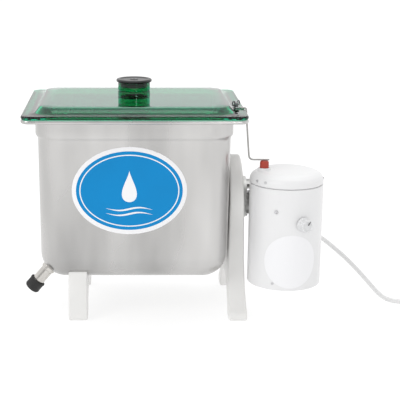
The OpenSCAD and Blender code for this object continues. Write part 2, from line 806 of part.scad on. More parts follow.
module cable_gland()
    color([0.85, 0.85, 0.85]) {
        difference() {
            at_gland() translate([0, 0, -7]) cylinder(r = 8.5, h = 16);
            at_housing() rod_z(housing_r, housing_z, seam_z);
            at_gland() translate([0, 0, -20]) cylinder(r = 5.5, h = 40);
        }
        difference() {
            at_gland() translate([0, 0, -7]) cylinder(r = 6, h = 14);
            at_gland() translate([0, 0, -10]) cylinder(r = cord_r, h = 20);
        }
    }

module strain_relief()
    color([0.88, 0.88, 0.88]) at_gland() translate([0, 0, 9])
        cylinder(r1 = 6.2, r2 = cord_r + 0.7, h = 21);

function unit(v) = v / norm(v);
function heading(p, i) = unit(p[min(i + 1, len(p) - 1)] - p[max(i - 1, 0)]);
function hoop(p, i, r, n) =
    let (t = heading(p, i), side = unit(cross(t, [0, 0, 1])), up = cross(side, t))
    [for (k = [0 : n - 1]) p[i] + r * (cos(360 * k / n) * side + sin(360 * k / n) * up)];

// Tube of n sides along a line of points
module tube(p, r, n = 10) {
    last = len(p) - 1;
    polyhedron(
        points = [for (i = [0 : last]) each hoop(p, i, r, n)],
        faces = [
            [for (k = [n - 1 : -1 : 0]) k],
            for (i = [0 : last - 1], k = [0 : n - 1]) each let (m = (k + 1) % n) [
                [i * n + k, (i + 1) * n + m, (i + 1) * n + k],
                [i * n + k, i * n + m, (i + 1) * n + m]],
            [for (k = [0 : n - 1]) last * n + k],
        ]);
}

module mains_cord() color([0.9, 0.9, 0.9]) tube(route, cord_r);

module cord_coil()
    color([0.9, 0.9, 0.9]) translate([coil_at[0], coil_at[1], 0]) rotate_extrude()
        translate([coil_inner_r - cord_r, 0]) square([2 * cord_d, coil_h]);

module cord_tail()
    color([0.9, 0.9, 0.9]) translate([coil_at[0], coil_at[1], 0]) tube(tail, cord_r);

// Child's +Z runs along the plug towards its pins
module at_plug() {
    end = tail[len(tail) - 1];
    translate([coil_at[0] + end.x, coil_at[1] + end.y, end.z]) rotate([-90, 0, 0]) children();
}

module plug_body()
    color([0.9, 0.9, 0.9]) at_plug() {
        cylinder(r1 = cord_r + 0.5, r2 = 5.5, h = 14);
        translate([0, 0, 14]) linear_extrude(plug_l) round_rect(plug_w, plug_t, 6);
    }

module plug_pins()
    color([0.75, 0.75, 0.72]) at_plug() for (side = [-1, 1])
        translate([side * pin_gap / 2, 0, 14 + plug_l]) cylinder(r = 2, h = pin_l);

tank();
tank_floor();
tank_rim();
drain_pipe();
drain_cap();
left_stand();
right_stand();
stand_screws();
front_label();
front_emblem();
lid();
fill_tube();
fill_cap();
interlock_arm();
clamp_stud();
clamp_washer();
wing_nut();
end_bearing();
seal_housing();
shaft_seal();
seal_screws();
paddle_blade();
paddle_shaft();
drive_shaft();
cross_pin();
drive_neck();
neck_screws();
gearbox_inner();
gearbox_outer();
gearbox_bolts();
shaft_bearings();
worm_wheel();
worm_shaft();
rotor_core();
worm_bearings();
motor_can();
stator();
motor_flange();
motor_housing();
housing_base();
base_screws();
housing_cap();
cap_screws();
motor_label();
housing_screw();
board_carrier();
control_board();
board_parts();
potentiometer();
pot_nut();
speed_knob();
safety_switch();
safety_button();
cable_gland();
strain_relief();
mains_cord();
cord_coil();
cord_tail();
plug_body();
plug_pins();
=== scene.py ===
import json
import math
import bmesh
import bpy
from mathutils import Matrix, Vector


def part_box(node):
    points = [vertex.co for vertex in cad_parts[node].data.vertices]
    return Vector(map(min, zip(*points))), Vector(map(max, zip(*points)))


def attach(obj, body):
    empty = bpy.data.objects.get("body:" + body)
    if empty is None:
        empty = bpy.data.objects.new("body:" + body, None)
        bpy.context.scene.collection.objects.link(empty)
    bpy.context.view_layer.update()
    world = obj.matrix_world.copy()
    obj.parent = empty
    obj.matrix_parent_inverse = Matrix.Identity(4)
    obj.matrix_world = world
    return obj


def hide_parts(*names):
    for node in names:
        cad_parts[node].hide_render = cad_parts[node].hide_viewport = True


# Electric butter churn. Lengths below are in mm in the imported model's frame, and become metres when
# a mesh is made: X runs along the pan towards the motor, Y to the back, Z up from the floor.

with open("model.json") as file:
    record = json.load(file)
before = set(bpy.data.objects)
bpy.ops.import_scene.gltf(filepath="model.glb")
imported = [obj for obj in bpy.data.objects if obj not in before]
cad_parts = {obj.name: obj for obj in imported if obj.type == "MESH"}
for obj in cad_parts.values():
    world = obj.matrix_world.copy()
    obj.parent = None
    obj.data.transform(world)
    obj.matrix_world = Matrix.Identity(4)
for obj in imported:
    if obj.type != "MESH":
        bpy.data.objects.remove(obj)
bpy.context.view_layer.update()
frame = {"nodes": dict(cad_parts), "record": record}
MM = 0.001


def span(node):
    """Lowest and highest corner of a CAD node, in mm."""
    lo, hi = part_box(node)
    return Vector(lo) / MM, Vector(hi) / MM


def in_scene(name, data):
    """New object, linked to the scene."""
    obj = bpy.data.objects.new(name, data)
    bpy.context.scene.collection.objects.link(obj)
    return obj


pan_lo, pan_hi = span("tank")
pan_x = (pan_lo.x + pan_hi.x) / 2
rim_z = pan_hi.z
case_lo = span("gearbox_inner")[0]
shell_lo, shell_hi = span("housing_cap")
shaft_lo, shaft_hi = span("drive_shaft")
axis_z = (shaft_lo.z + shaft_hi.z) / 2
house_r = (shell_hi.x - shell_lo.x) / 2
house = Vector(((shell_lo.x + shell_hi.x) / 2, shell_lo.y + house_r, 0))
mid_x = house.x - 231.6

# ---------------------------------------------------------------- camera

camera = in_scene("camera", bpy.data.cameras.new("camera"))
bpy.context.scene.camera = camera
camera.location = (-0.0747, -1.7443, 0.6016)
camera.rotation_euler = (math.radians(90 - 14.06), 0, 0)
camera.data.sensor_width = 36
camera.data.lens = 103.0
camera.data.shift_x = 0.188
camera.data.clip_end = 200

# ---------------------------------------------------------------- materials


def new_material(name, colour, rough, metal=0.0, **sockets):
    """Principled material, with its node tree and shader."""
    mat = bpy.data.materials.new(name)
    mat.use_nodes = True
    tree = mat.node_tree
    shader = tree.nodes["Principled BSDF"]
    shader.inputs["Base Color"].default_value = (*colour[:3], 1)
    shader.inputs["Roughness"].default_value = rough
    shader.inputs["Metallic"].default_value = metal
    for key, value in sockets.items():
        shader.inputs[key.replace("_", " ")].default_value = value
    return mat


def add_node(mat, kind, **settings):
    node = mat.node_tree.nodes.new(kind)
    for key, value in settings.items():
        if key in node.inputs.keys():
            node.inputs[key].default_value = value
        else:
            setattr(node, key, value)
    return node


def link(mat, a, out, b, into):
    mat.node_tree.links.new(a.outputs[out], b.inputs[into])


def stretched(mat, scale, rotate=(0, 0, 0)):
    """Object coordinates in metres, scaled, for noise that is longer one way than another."""
    coord = add_node(mat, "ShaderNodeTexCoord")
    mapping = add_node(mat, "ShaderNodeMapping")
    mapping.inputs["Scale"].default_value = scale
    mapping.inputs["Rotation"].default_value = rotate
    link(mat, coord, "Object", mapping, "Vector")
    return mapping


def noise(mat, mapping, scale, detail=3.0, rough=0.5):
    tex = add_node(mat, "ShaderNodeTexNoise")
    tex.inputs["Scale"].default_value = scale
    tex.inputs["Detail"].default_value = detail
    tex.inputs["Roughness"].default_value = rough
    link(mat, mapping, "Vector", tex, "Vector")
    return tex


def between(mat, tex, low, high, out="Fac", lo_in=0.3, hi_in=0.7):
    """Noise value brought into a range of numbers."""
    node = add_node(mat, "ShaderNodeMapRange")
    node.inputs["From Min"].default_value = lo_in
    node.inputs["From Max"].default_value = hi_in
    node.inputs["To Min"].default_value = low
    node.inputs["To Max"].default_value = high
    link(mat, tex, out, node, "Value")
    return node


def vary_colour(mat, tex, low, high):
    ramp = add_node(mat, "ShaderNodeValToRGB")
    ramp.color_ramp.elements[0].position = 0.3
    ramp.color_ramp.elements[1].position = 0.7
    ramp.color_ramp.elements[0].color = (*low, 1)
    ramp.color_ramp.elements[1].color = (*high, 1)
    link(mat, tex, "Fac", ramp, "Fac")
    link(mat, ramp, "Color", mat.node_tree.nodes["Principled BSDF"], "Base Color")
    return ramp


def vary_rough(mat, tex, low, high):
    node = between(mat, tex, low, high)
    link(mat, node, "Result", mat.node_tree.nodes["Principled BSDF"], "Roughness")


def bump(mat, tex, strength, height, out="Fac", after=None):
    """Bump of a height in mm from a texture."""
    node = add_node(mat, "ShaderNodeBump")
    node.inputs["Strength"].default_value = strength
    node.inputs["Distance"].default_value = height * MM
    link(mat, tex, out, node, "Height")
    if after is not None:
        link(mat, after, "Normal", node, "Normal")
    link(mat, node, "Normal", mat.node_tree.nodes["Principled BSDF"], "Normal")
    return node


def shade(colour, by):
    return tuple(min(1.0, c * by) for c in colour[:3])


def drawn_steel(name, colour, rough, scale=(3, 3, 70), anisotropic=0.0):
    """Stainless sheet with fine drawing lines, and soft upright bands of painted reflection in its colour."""
    mat = new_material(name, colour, rough, 1.0, Anisotropic=anisotropic)
    # painted reflection: this noise lays upright bands of lighter and darker tone into the base colour
    clouds = noise(mat, stretched(mat, (1, 1, 0.3)), 9, 3, 0.5)
    vary_colour(mat, clouds, shade(colour, 0.66), shade(colour, 1.14))
    lines = noise(mat, stretched(mat, scale), 14, 2, 0.5)
    vary_rough(mat, clouds, rough * 0.85, rough * 1.15)
    bump(mat, lines, 0.03, 0.05)
    return mat


def moulded(name, colour, rough, grain=0.25, size=900, spread=0.03, **sockets):
    """Plastic with a fine moulded grain and slight unevenness of colour and gloss."""
    mat = new_material(name, colour, rough, 0.0, **sockets)
    plain = stretched(mat, (1, 1, 1))
    clouds = noise(mat, plain, 18, 4)
    vary_colour(mat, clouds, shade(colour, 1 - spread), shade(colour, 1 + spread))
    fine = noise(mat, plain, size, 2)
    vary_rough(mat, clouds, rough * 0.9, rough * 1.12)
    bump(mat, fine, grain, 0.05)
    return mat


def see_through(name, flat, side, rough, level):
    """Clear tinted plastic whose upright walls and edges carry a deeper colour than its level sheet: painted
    shade, set by which way a face points, standing in for the longer way light has to go through the plastic
    there."""
    mat = new_material(name, flat, rough, 0.0, Transmission_Weight=1.0, IOR=1.4, Specular_IOR_Level=level)
    # painted shade: faces that are not level take the deeper side colour, level faces the flat one
    geometry = add_node(mat, "ShaderNodeNewGeometry")
    split = add_node(mat, "ShaderNodeSeparateXYZ")
    link(mat, geometry, "True Normal", split, "Vector")
    size = add_node(mat, "ShaderNodeMath")
    size.operation = "ABSOLUTE"
    link(mat, split, "Z", size, 0)
    level_face = between(mat, size, 0, 1, 0, 0.9, 0.995)
    tint = add_node(mat, "ShaderNodeValToRGB")
    tint.color_ramp.elements[0].color = (*side, 1)
    tint.color_ramp.elements[1].color = (*flat, 1)
    link(mat, level_face, "Result", tint, "Fac")
    link(mat, tint, "Color", mat.node_tree.nodes["Principled BSDF"], "Base Color")
    clouds = noise(mat, stretched(mat, (1, 1, 1)), 22, 3)
    vary_rough(mat, clouds, rough * 0.8, rough * 1.3)
    bump(mat, noise(mat, stretched(mat, (1, 1, 1)), 9, 2), 0.05, 0.6)
    return mat


def machined(name, colour, rough, **sockets):
    """Turned or ground metal with fine tool marks."""
    mat = new_material(name, colour, rough, 1.0, **sockets)
    clouds = noise(mat, stretched(mat, (1, 1, 1)), 60, 3)
    vary_colour(mat, clouds, shade(colour, 0.88), shade(colour, 1.08))
    vary_rough(mat, clouds, rough * 0.8, rough * 1.25)
    bump(mat, noise(mat, stretched(mat, (1, 1, 1)), 700, 3), 0.15, 0.04)
    return mat


def cast(name, colour, rough):
    """Die-cast metal with a sandy skin."""
    mat = new_material(name, colour, rough, 0.85)
    plain = stretched(mat, (1, 1, 1))
    vary_colour(mat, noise(mat, plain, 45, 4), shade(colour, 0.85), shade(colour, 1.08))
    vary_rough(mat, noise(mat, plain, 120, 3), rough * 0.85, rough * 1.15)
    bump(mat, noise(mat, plain, 650, 4, 0.7), 0.35, 0.12)
    return mat


def rubber(name, colour, rough, spread=0.3):
    mat = new_material(name, colour, rough, 0.0)
    plain = stretched(mat, (1, 1, 1))
    vary_colour(mat, noise(mat, plain, 90, 4), shade(colour, 1 - spread), shade(colour, 1 + spread))
    vary_rough(mat, noise(mat, plain, 60, 3), rough * 0.85, rough * 1.15)
    bump(mat, noise(mat, plain, 1100, 3), 0.3, 0.06)
    return mat


steel = drawn_steel("pan_steel", (0.572, 0.565, 0.556), 0.27)
pipe_steel = machined("pipe_steel", (0.62, 0.6, 0.57), 0.22)
paddle_steel = drawn_steel("paddle_steel", (0.7, 0.69, 0.68), 0.28, (160, 6, 6))
wire_steel = machined("wire_steel", (0.42, 0.41, 0.4), 0.35)
zinc = machined("screw_steel", (0.62, 0.62, 0.63), 0.3)
ring_steel = machined("ring_steel", (0.6, 0.61, 0.63), 0.2)
dark_enamel = moulded("motor_steel", (0.03, 0.032, 0.036), 0.4, 0.2, 500)
wing_metal = machined("wing_metal", (0.12, 0.12, 0.125), 0.38)
die_cast = cast("gear_metal", (0.62, 0.62, 0.61), 0.5)
brass = machined("gear_brass", (0.7, 0.5, 0.2), 0.3)
core_iron = cast("core_iron", (0.2, 0.19, 0.18), 0.5)
copper = machined("winding_copper", (0.62, 0.26, 0.12), 0.35)
pin_metal = machined("pin_metal", (0.68, 0.66, 0.6), 0.25)
# the second colour of each is painted shade on its upright faces and edges
lid_green = see_through("lid_green", (0.12, 0.52, 0.34), (0.0, 0.6, 0.3), 0.02, 0.3)
tube_green = see_through("tube_green", (0.0, 0.45, 0.2), (0.0, 0.5, 0.24), 0.03, 0.2)
cap_black = moulded("cap_black", (0.012, 0.012, 0.013), 0.3, 0.1)
stand_white = moulded("stand_white", (0.8, 0.795, 0.78), 0.5, 0.3, 700)
shell_white = moulded("housing_white", (0.79, 0.79, 0.795), 0.36, 0.12, 500, 0.012)
bearing_plastic = moulded("bearing_plastic", (0.72, 0.72, 0.68), 0.45)
dark_plastic = moulded("dark_plastic", (0.03, 0.03, 0.034), 0.45)
board_green = moulded("board_green", (0.01, 0.09, 0.03), 0.35)
knob_grey = moulded("knob_grey", (0.7, 0.705, 0.71), 0.42, 0.2)
button_red = moulded("button_red", (0.42, 0.045, 0.025), 0.5, 0.2)
film_white = moulded("label_white", (0.86, 0.86, 0.875), 0.4, 0.02, 300, 0.005)
film_blue = moulded("label_blue", (0.0, 0.235, 0.56), 0.45, 0.05, 300, 0.03, Specular_IOR_Level=0.2)
black_rubber = rubber("black_rubber", (0.012, 0.012, 0.012), 0.55)
cord_white = rubber("cord_white", (0.74, 0.74, 0.74), 0.42, 0.02)
# painted shade: the dark grey of the knob's pointer stands in for the shade in its notch
notch_shade_grey = moulded("notch_shade_grey", (0.16, 0.16, 0.165), 0.6)

# ---------------------------------------------------------------- shape helpers


def soft(points, closed=False, step=15):
    """Outline whose corners are rounded, each to its own radius: points are (a, b) or (a, b, radius)."""
    out, n = [], len(points)
    for i, p in enumerate(points):
        r = p[2] if len(p) > 2 else 0
        here = Vector(p[:2])
        if r <= 0 or (not closed and i in (0, n - 1)):
            out.append(tuple(here))
            continue
        to_a, to_b = Vector(points[i - 1][:2]) - here, Vector(points[(i + 1) % n][:2]) - here
        reach = min(to_a.length, to_b.length) * 0.499
        to_a.normalize()
        to_b.normalize()
        half = to_a.angle(to_b) / 2
        if abs(half - math.pi / 2) < 1e-3:
            out.append(tuple(here))
            continue
        cut = min(r / math.tan(half), reach)
        r = cut * math.tan(half)
        centre = here + (to_a + to_b).normalized() * (r / math.sin(half))
        a, b = here + to_a * cut - centre, here + to_b * cut - centre
        start = math.atan2(a.y, a.x)
        turn = (math.atan2(b.y, b.x) - start + math.pi) % (2 * math.pi) - math.pi
        count = max(2, math.ceil(abs(turn) / math.radians(step)))
        for k in range(count + 1):
            angle = start + turn * k / count
            out.append((centre.x + r * math.cos(angle), centre.y + r * math.sin(angle)))
    return out


def bridge(rings, closed=True, start=False, end=False, loop=False):
    """Vertices and faces of a skin over rings with the same count of points."""
    n, count = len(rings[0]), len(rings)
    verts = [v for ring in rings for v in ring]
    faces = []
    for i in range(count if loop else count - 1):
        a, b = i * n, (i + 1) % count * n
        for k in range(n if closed else n - 1):
            m = (k + 1) % n
            faces.append((a + k, a + m, b + m, b + k))
    if start:
        faces.append(tuple(range(n)))
    if end:
        faces.append(tuple((count - 1) * n + k for k in range(n)))
    return verts, faces


def merged(*parts):
    verts, faces = [], []
    for v, f in parts:
        base = len(verts)
        verts.extend(v)
        faces.extend(tuple(i + base for i in face) for face in f)
    return verts, faces


def placed(part, matrix):
    return [matrix @ Vector(v) for v in part[0]], part[1]


def turned(profile, count=96, loop=False):
    """Skin of a profile of (radius, height) turned about Z."""
    rings = []
    for r, z in profile:
        rings.append([(r * math.cos(2 * math.pi * k / count), r * math.sin(2 * math.pi * k / count), z)
                      for k in range(count)])
    return bridge(rings, loop=loop)


def frame_at(origin, z_axis, x_hint=(1, 0, 0)):
    """Placement whose Z runs along z_axis, from origin."""
    z = Vector(z_axis).normalized()
    x = Vector(x_hint) - z * Vector(x_hint).dot(z)
    x = x.normalized() if x.length > 1e-6 else z.orthogonal().normalized()
    y = z.cross(x)
    m = Matrix((x, y, z)).transposed().to_4x4()
    m.translation = Vector(origin)
    return m


def catmull(points, per=6):
    """Smooth points through the given ones."""
    p = [Vector(q) for q in points]
    p = [2 * p[0] - p[1]] + p + [2 * p[-1] - p[-2]]
    out = []
    for i in range(1, len(p) - 2):
        for k in range(per):
            t = k / per
            out.append(0.5 * ((2 * p[i]) + (p[i + 1] - p[i - 1]) * t
                              + (2 * p[i - 1] - 5 * p[i] + 4 * p[i + 1] - p[i + 2]) * t * t
                              + (3 * p[i] - p[i - 1] - 3 * p[i + 1] + p[i + 2]) * t ** 3))
    out.append(p[-2])
    return out


def swept(points, radius, count=20, closed=False, round_ends=True):
    """Round bar along points; radius may be a number or one number for each point."""
    p = [Vector(q) for q in points]
    radii = radius if isinstance(radius, (list, tuple)) else [radius] * len(p)
    last = len(p) - 1
    rings, side = [], None
    for i, q in enumerate(p):
        if closed:
            t = (p[(i + 1) % len(p)] - p[i - 1]).normalized()
        else:
            t = (p[min(i + 1, last)] - p[max(i - 1, 0)]).normalized()
        side = t.orthogonal() if side is None else side - t * side.dot(t)
        side.normalize()
        up = t.cross(side)
        rings.append([q + radii[i] * (math.cos(2 * math.pi * k / count) * side
                                      + math.sin(2 * math.pi * k / count) * up) for k in range(count)])
    if closed:
        return bridge(rings, loop=True)
    if round_ends:
        for end, out in ((0, p[0] - p[1]), (-1, p[-1] - p[-2])):
            out = out.normalized()
            centre, edge, r = p[end], rings[end], radii[end]
            domes = []
            for angle in (30, 60, 80):
                c, s = math.cos(math.radians(angle)), math.sin(math.radians(angle))
                domes.append([centre + (v - centre) * c + out * r * s * 0.6 for v in edge])
            rings = domes[::-1] + rings if end == 0 else rings + domes
    return bridge(rings, start=True, end=True)


def outline_offset(points, d):
    """Closed counter-clockwise outline moved inwards by d."""
    out, n = [], len(points)
    for i in range(n):
        a, p, b = Vector(points[i - 1]), Vector(points[i]), Vector(points[(i + 1) % n])
        na = Vector((-(p - a).y, (p - a).x)).normalized()
        nb = Vector((-(b - p).y, (b - p).x)).normalized()
        mid = (na + nb).normalized()
        out.append(tuple(p + mid * (d / max(0.5, mid.dot(na)))))
    return out


def slab(outline, low, high, edge, steps=4, put=None):
    """Closed outline given thickness from low to high with rounded edges. low and high may depend on
    the outline's point, and put turns (a, b, height) into a place."""
    low_of = low if callable(low) else lambda a, b: low
    high_of = high if callable(high) else lambda a, b: high
    put = put or (lambda a, b, h: (a, b, h))
    rings = []
    for k in range(steps + 1):
        angle = math.pi / 2 * k / steps
        ring = outline_offset(outline, edge * (1 - math.sin(angle)))
        rings.append([put(a, b, low_of(a, b) + edge * (1 - math.cos(angle))) for a, b in ring])
    for k in range(steps, -1, -1):
        angle = math.pi / 2 * k / steps
        ring = outline_offset(outline, edge * (1 - math.sin(angle)))
        rings.append([put(a, b, high_of(a, b) - edge * (1 - math.cos(angle))) for a, b in ring])
    return bridge(rings, start=True, end=True)


def mesh_of(name, part, clean, thin_out):
    """Mesh in metres from a part in mm, its doubled points merged and its faces turned outwards."""
    mesh = bpy.data.meshes.new(name)
    mesh.from_pydata([Vector(v) * MM for v in part[0]], [], part[1])
    bm = bmesh.new()
    bm.from_mesh(mesh)
    bmesh.ops.remove_doubles(bm, verts=bm.verts, dist=clean)
    if thin_out:
        bmesh.ops.dissolve_degenerate(bm, edges=bm.edges, dist=clean)
    bmesh.ops.recalc_face_normals(bm, faces=bm.faces)
    bm.to_mesh(mesh)
    bm.free()
    return mesh


def make(name, part, mat, body, nodes=(), sharp=35, clean=1e-6):
    """Object from a part in mm, riding on a body and standing for CAD nodes."""
    mesh = mesh_of(name, part, clean, True)
    obj = in_scene(name, mesh)
    mesh.materials.append(mat)
    settle(obj, sharp)
    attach(obj, body)
    if nodes:
        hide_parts(*nodes)
    return obj


def settle(obj, sharp):
    for poly in obj.data.polygons:
        poly.use_smooth = True
    obj.data.set_sharp_from_angle(angle=math.radians(sharp))


def bake_modifiers(obj):
    """Applies an object's modifiers to its mesh."""
    graph = bpy.context.evaluated_depsgraph_get()
    graph.update()
    mesh = bpy.data.meshes.new_from_object(obj.evaluated_get(graph))
    old = obj.data
    obj.modifiers.clear()
    obj.data = mesh
    bpy.data.meshes.remove(old)


def cut(obj, *tools, sharp=35):
    """Cuts closed parts in mm out of an object."""
    for part in tools:
        mesh = mesh_of("cutter", part, 1e-6, False)
        tool = in_scene("cutter", mesh)
        step = obj.modifiers.new("cut", "BOOLEAN")
        step.operation = "DIFFERENCE"
        step.solver = "EXACT"
        step.object = tool
        bake_modifiers(obj)
        bpy.data.objects.remove(tool)
        bpy.data.meshes.remove(mesh)
    settle(obj, sharp)


def eased(node, mat, width=0.5, steps=2, sharp=35, angle=28):
    """Copy of a CAD node's shape with its edges rounded, standing for the node."""
    source = frame["nodes"][node]
    mesh = source.data.copy()
    bm = bmesh.new()
    bm.from_mesh(mesh)
    bmesh.ops.remove_doubles(bm, verts=bm.verts, dist=2e-6)
    bmesh.ops.dissolve_limit(bm, angle_limit=math.radians(0.6), verts=bm.verts, edges=bm.edges)
    bm.to_mesh(mesh)
    bm.free()
    if mesh.attributes.get("custom_normal"):
        mesh.attributes.remove(mesh.attributes["custom_normal"])
    obj = in_scene(node + "_eased", mesh)
    mesh.materials.clear()
    mesh.materials.append(mat)
    if width:
        step = obj.modifiers.new("edges", "BEVEL")
        step.width = width * MM
        step.segments = steps
        step.limit_method = "ANGLE"
        step.angle_limit = math.radians(angle)
        step.use_clamp_overlap = True
        bake_modifiers(obj)
    settle(obj, sharp)
    body = next(b for b, members in frame["record"]["behaviour"]["bodies"].items() if node in members)
    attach(obj, body)
    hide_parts(node)
    return obj


# ---------------------------------------------------------------- mains lead

cord_r = 3.5
coil_at = Vector((420, 12, 0))
route = [
    (228, -1.6, 107.3), (234.4, 4.8, 103.1), (242, 8.5, 98), (252, 8.5, 90),
    (262, 6.5, 82), (272, 4, 73.5), (282, 1.5, 64.5), (292, -1, 54.5), (302, -4, 44),
    (311, -6, 34), (320, -8, 24), (327, -10, 16.5), (334, -12, 10.5), (341, -14, 6.5),
    (350, -16, 4), (360, -19, 3.5), (375, -24, 3.5), (390, -28, 3.5), (405, -30.5, 3.5),
    (420, -31, 3.5),
]
tail = [
    (-27.4, -23.3, 17.5), (-22, -28.2, 18.5), (-15, -31.8, 20), (-6, -33.2, 22),
    (3, -31.7, 24), (11, -27.3, 25.8), (17.5, -20.5, 27.2), (21, -12.5, 27.9),
    (22, -5, 28),
]


def ramp(x, start, end):
    t = min(1.0, max(0.0, (x - start) / (end - start)))
    return t * t * (3 - 2 * t)


def coil_points(total=1750.4, step=7.5):
    """Turns of the coil from its outer front, side by side and one on another. Each change of lane or
    of layer comes a little earlier in its turn than the one below, so that no two turns cross."""
    out, n = [], round(total / step)
    for i in range(1, n):
        phi = total * i / n
        radius = 43 - 7 * ramp(phi, 270, 360) + 7 * ramp(phi, 840, 930) - 7 * ramp(phi, 1410, 1500)
        height = 3.5 + 7 * ramp(phi, 570, 630) + 7 * ramp(phi, 1140, 1200)
        bearing = math.radians(phi - 90)
        out.append(coil_at + Vector((radius * math.cos(bearing), radius * math.sin(bearing), height)))
    return out


lead_points = catmull(route, 4) + coil_points() + catmull([Vector(t) + coil_at for t in tail], 4)

lead_curve = bpy.data.curves.new("mains_lead", "CURVE")
lead_curve.dimensions = "3D"
lead_curve.bevel_depth = cord_r * MM
lead_curve.bevel_resolution = 5
lead_curve.use_fill_caps = True
spline = lead_curve.splines.new("POLY")
spline.points.add(len(lead_points) - 1)
for point, place in zip(spline.points, lead_points):
    point.co = (*(place * MM), 1)
spline.use_smooth = True
lead = in_scene("mains_lead", lead_curve)
lead_curve.materials.append(cord_white)
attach(lead, "frame")
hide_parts("mains_cord", "cord_coil", "cord_tail")

# Plug: a flat moulded body whose neck takes the lead, with two pins
plug_start = coil_at + Vector(tail[-1])
plug_place = Matrix.Translation(plug_start) @ Matrix.Rotation(math.radians(-90), 4, "X")


def plug_ring(w, t, r, y, n=8):
    return [(a, b, y) for a, b in soft([(w / 2, t / 2, r), (-w / 2, t / 2, r),
                                        (-w / 2, -t / 2, r), (w / 2, -t / 2, r)], True, 90 / n)]


plug_rings = [plug_ring(w, t, r, y) for w, t, r, y in (
    (7.2, 7.2, 3.5, 0), (8.2, 8.2, 4, 0.6), (8.4, 8.4, 4.1, 4), (9.4, 9.4, 4.6, 8.5), (11.5, 10.6, 5.2, 12),
    (16, 12, 5.9, 14.5), (24, 13.2, 6.2, 17), (31, 13.8, 6.2, 20), (34.4, 14, 6.2, 24), (35.2, 14, 6.2, 30),
    (35.3, 14, 6.2, 40), (35.2, 14, 6.2, 44.6), (34.4, 13.2, 5.8, 46.2), (32.6, 11.4, 5.0, 47))]
plug_shell = placed(bridge(plug_rings, start=True, end=True), plug_place)
plug = make("plug_shell", plug_shell, cord_white, "frame", ("plug_body",), sharp=40)
pin_profile = soft([(0, 65.9), (1.1, 65.9, 0.6), (2, 64.2, 0.6), (2, 47), (0, 47)])
pins = merged(*[placed(turned(pin_profile, 24), plug_place @ Matrix.Translation((side * 9.3, 0, 0)))
                for side in (-1, 1)])
plug_pins = make("plug_pin_pair", pins, pin_metal, "frame", ("plug_pins",))

# Strain relief: tapered sleeve with grooves, then the gland's collar and nut
gland_dir = Vector((math.cos(math.radians(45)) * math.cos(math.radians(25)),
                    math.sin(math.radians(45)) * math.cos(math.radians(25)), -math.sin(math.radians(25))))
gland_foot = house + Vector((house_r * math.cos(math.radians(45)), house_r * math.sin(math.radians(45)), 120))
gland_place = frame_at(gland_foot, gland_dir, (0, 0, 1))
relief_line = [(0, 9), (6.2, 9, 0.4)]
for i in range(5):
    z = 11.2 + 3.4 * i
    r = 6.2 - 2.0 * (z - 9) / 21
    relief_line += [(r, z, 0.4), (r - 0.9, z + 0.5, 0.3), (r - 0.95, z + 1.3, 0.3), (r - 0.25, z + 1.8, 0.4)]
relief_line += [(4.35, 29.2, 0.5), (4.1, 30, 0.4), (3.4, 30), (0, 30)]
relief = make("relief_sleeve", placed(turned(soft(relief_line), 40), gland_place), cord_white, "frame",
              ("strain_relief",), sharp=50)

# ---------------------------------------------------------------- pan


def corner_ring(hw, hd, r, z, n=14, m=6):
    """Rounded rectangle in the pan's frame, half as wide as hw and half as deep as hd."""
    r = max(r, 0.02)
    ring = []
    for q in range(4):
        sx, sy = ((1, 1), (-1, 1), (-1, -1), (1, -1))[q]
        cx, cy = sx * (hw - r), sy * (hd - r)
        for k in range(n + 1):
            a = math.pi / 2 * (q + k / n)
            ring.append(Vector((pan_x + cx + r * math.cos(a), cy + r * math.sin(a), z)))
        nx, ny = ((-1, 1), (-1, -1), (1, -1), (1, 1))[q]
        a, b = ring[-1], Vector((pan_x + nx * (hw - r), ny * (hd - r), z))
        a2 = math.pi / 2 * (q + 1)
        b = b + Vector((r * math.cos(a2), r * math.sin(a2), 0))
        for k in range(1, m):
            ring.append(a.lerp(b, k / m))
    return ring


pan_foot = (141.5, 108.5)
pan_neck = (143.2, 110.4)
pan_base = 65.6
pan_r = 38


def pan_wall(z):
    t = (z - pan_base - pan_r) / (279 - pan_base - pan_r)
    return (pan_foot[0] + (pan_neck[0] - pan_foot[0]) * t, pan_foot[1] + (pan_neck[1] - pan_foot[1]) * t)


def pan_side(inset):
    """Rings from the middle of the pan's floor up to its shoulder, inset from the outside."""
    rings = [corner_ring(40, 20, 0.02, pan_base + inset)]
    for a in (0, 7, 15, 24, 33, 42, 51, 60, 69, 78, 85, 90):
        c, s = math.cos(math.radians(a)), math.sin(math.radians(a))
        r = pan_r - inset
        rings.append(corner_ring(pan_foot[0] - pan_r + r * s, pan_foot[1] - pan_r + r * s, r * s,
                                 pan_base + pan_r - r * c))
    for z in (125, 150, 175, 200, 225, 250, 270, 277):
        hw, hd = pan_wall(z)
        rings.append(corner_ring(hw - inset, hd - inset, pan_r - inset, z))
    for z, out in ((279.5, 0.15), (281.3, 0.75), (282.6, 1.7), (284, 2.75), (285.6, 3.35), (288, 3.6)):
        rings.append(corner_ring(pan_neck[0] + out - inset, pan_neck[1] + out - inset,
                                 pan_r + out * 0.8 - inset, z))
    return rings


shoulder = (146.7, 113.95)
rim = (164.4, 132.9)


def off_shoulder(d, z, r):
    return corner_ring(shoulder[0] + d, shoulder[1] + d, r, z)


def off_rim(d, z, r):
    return corner_ring(rim[0] - d, rim[1] - d, r, z)


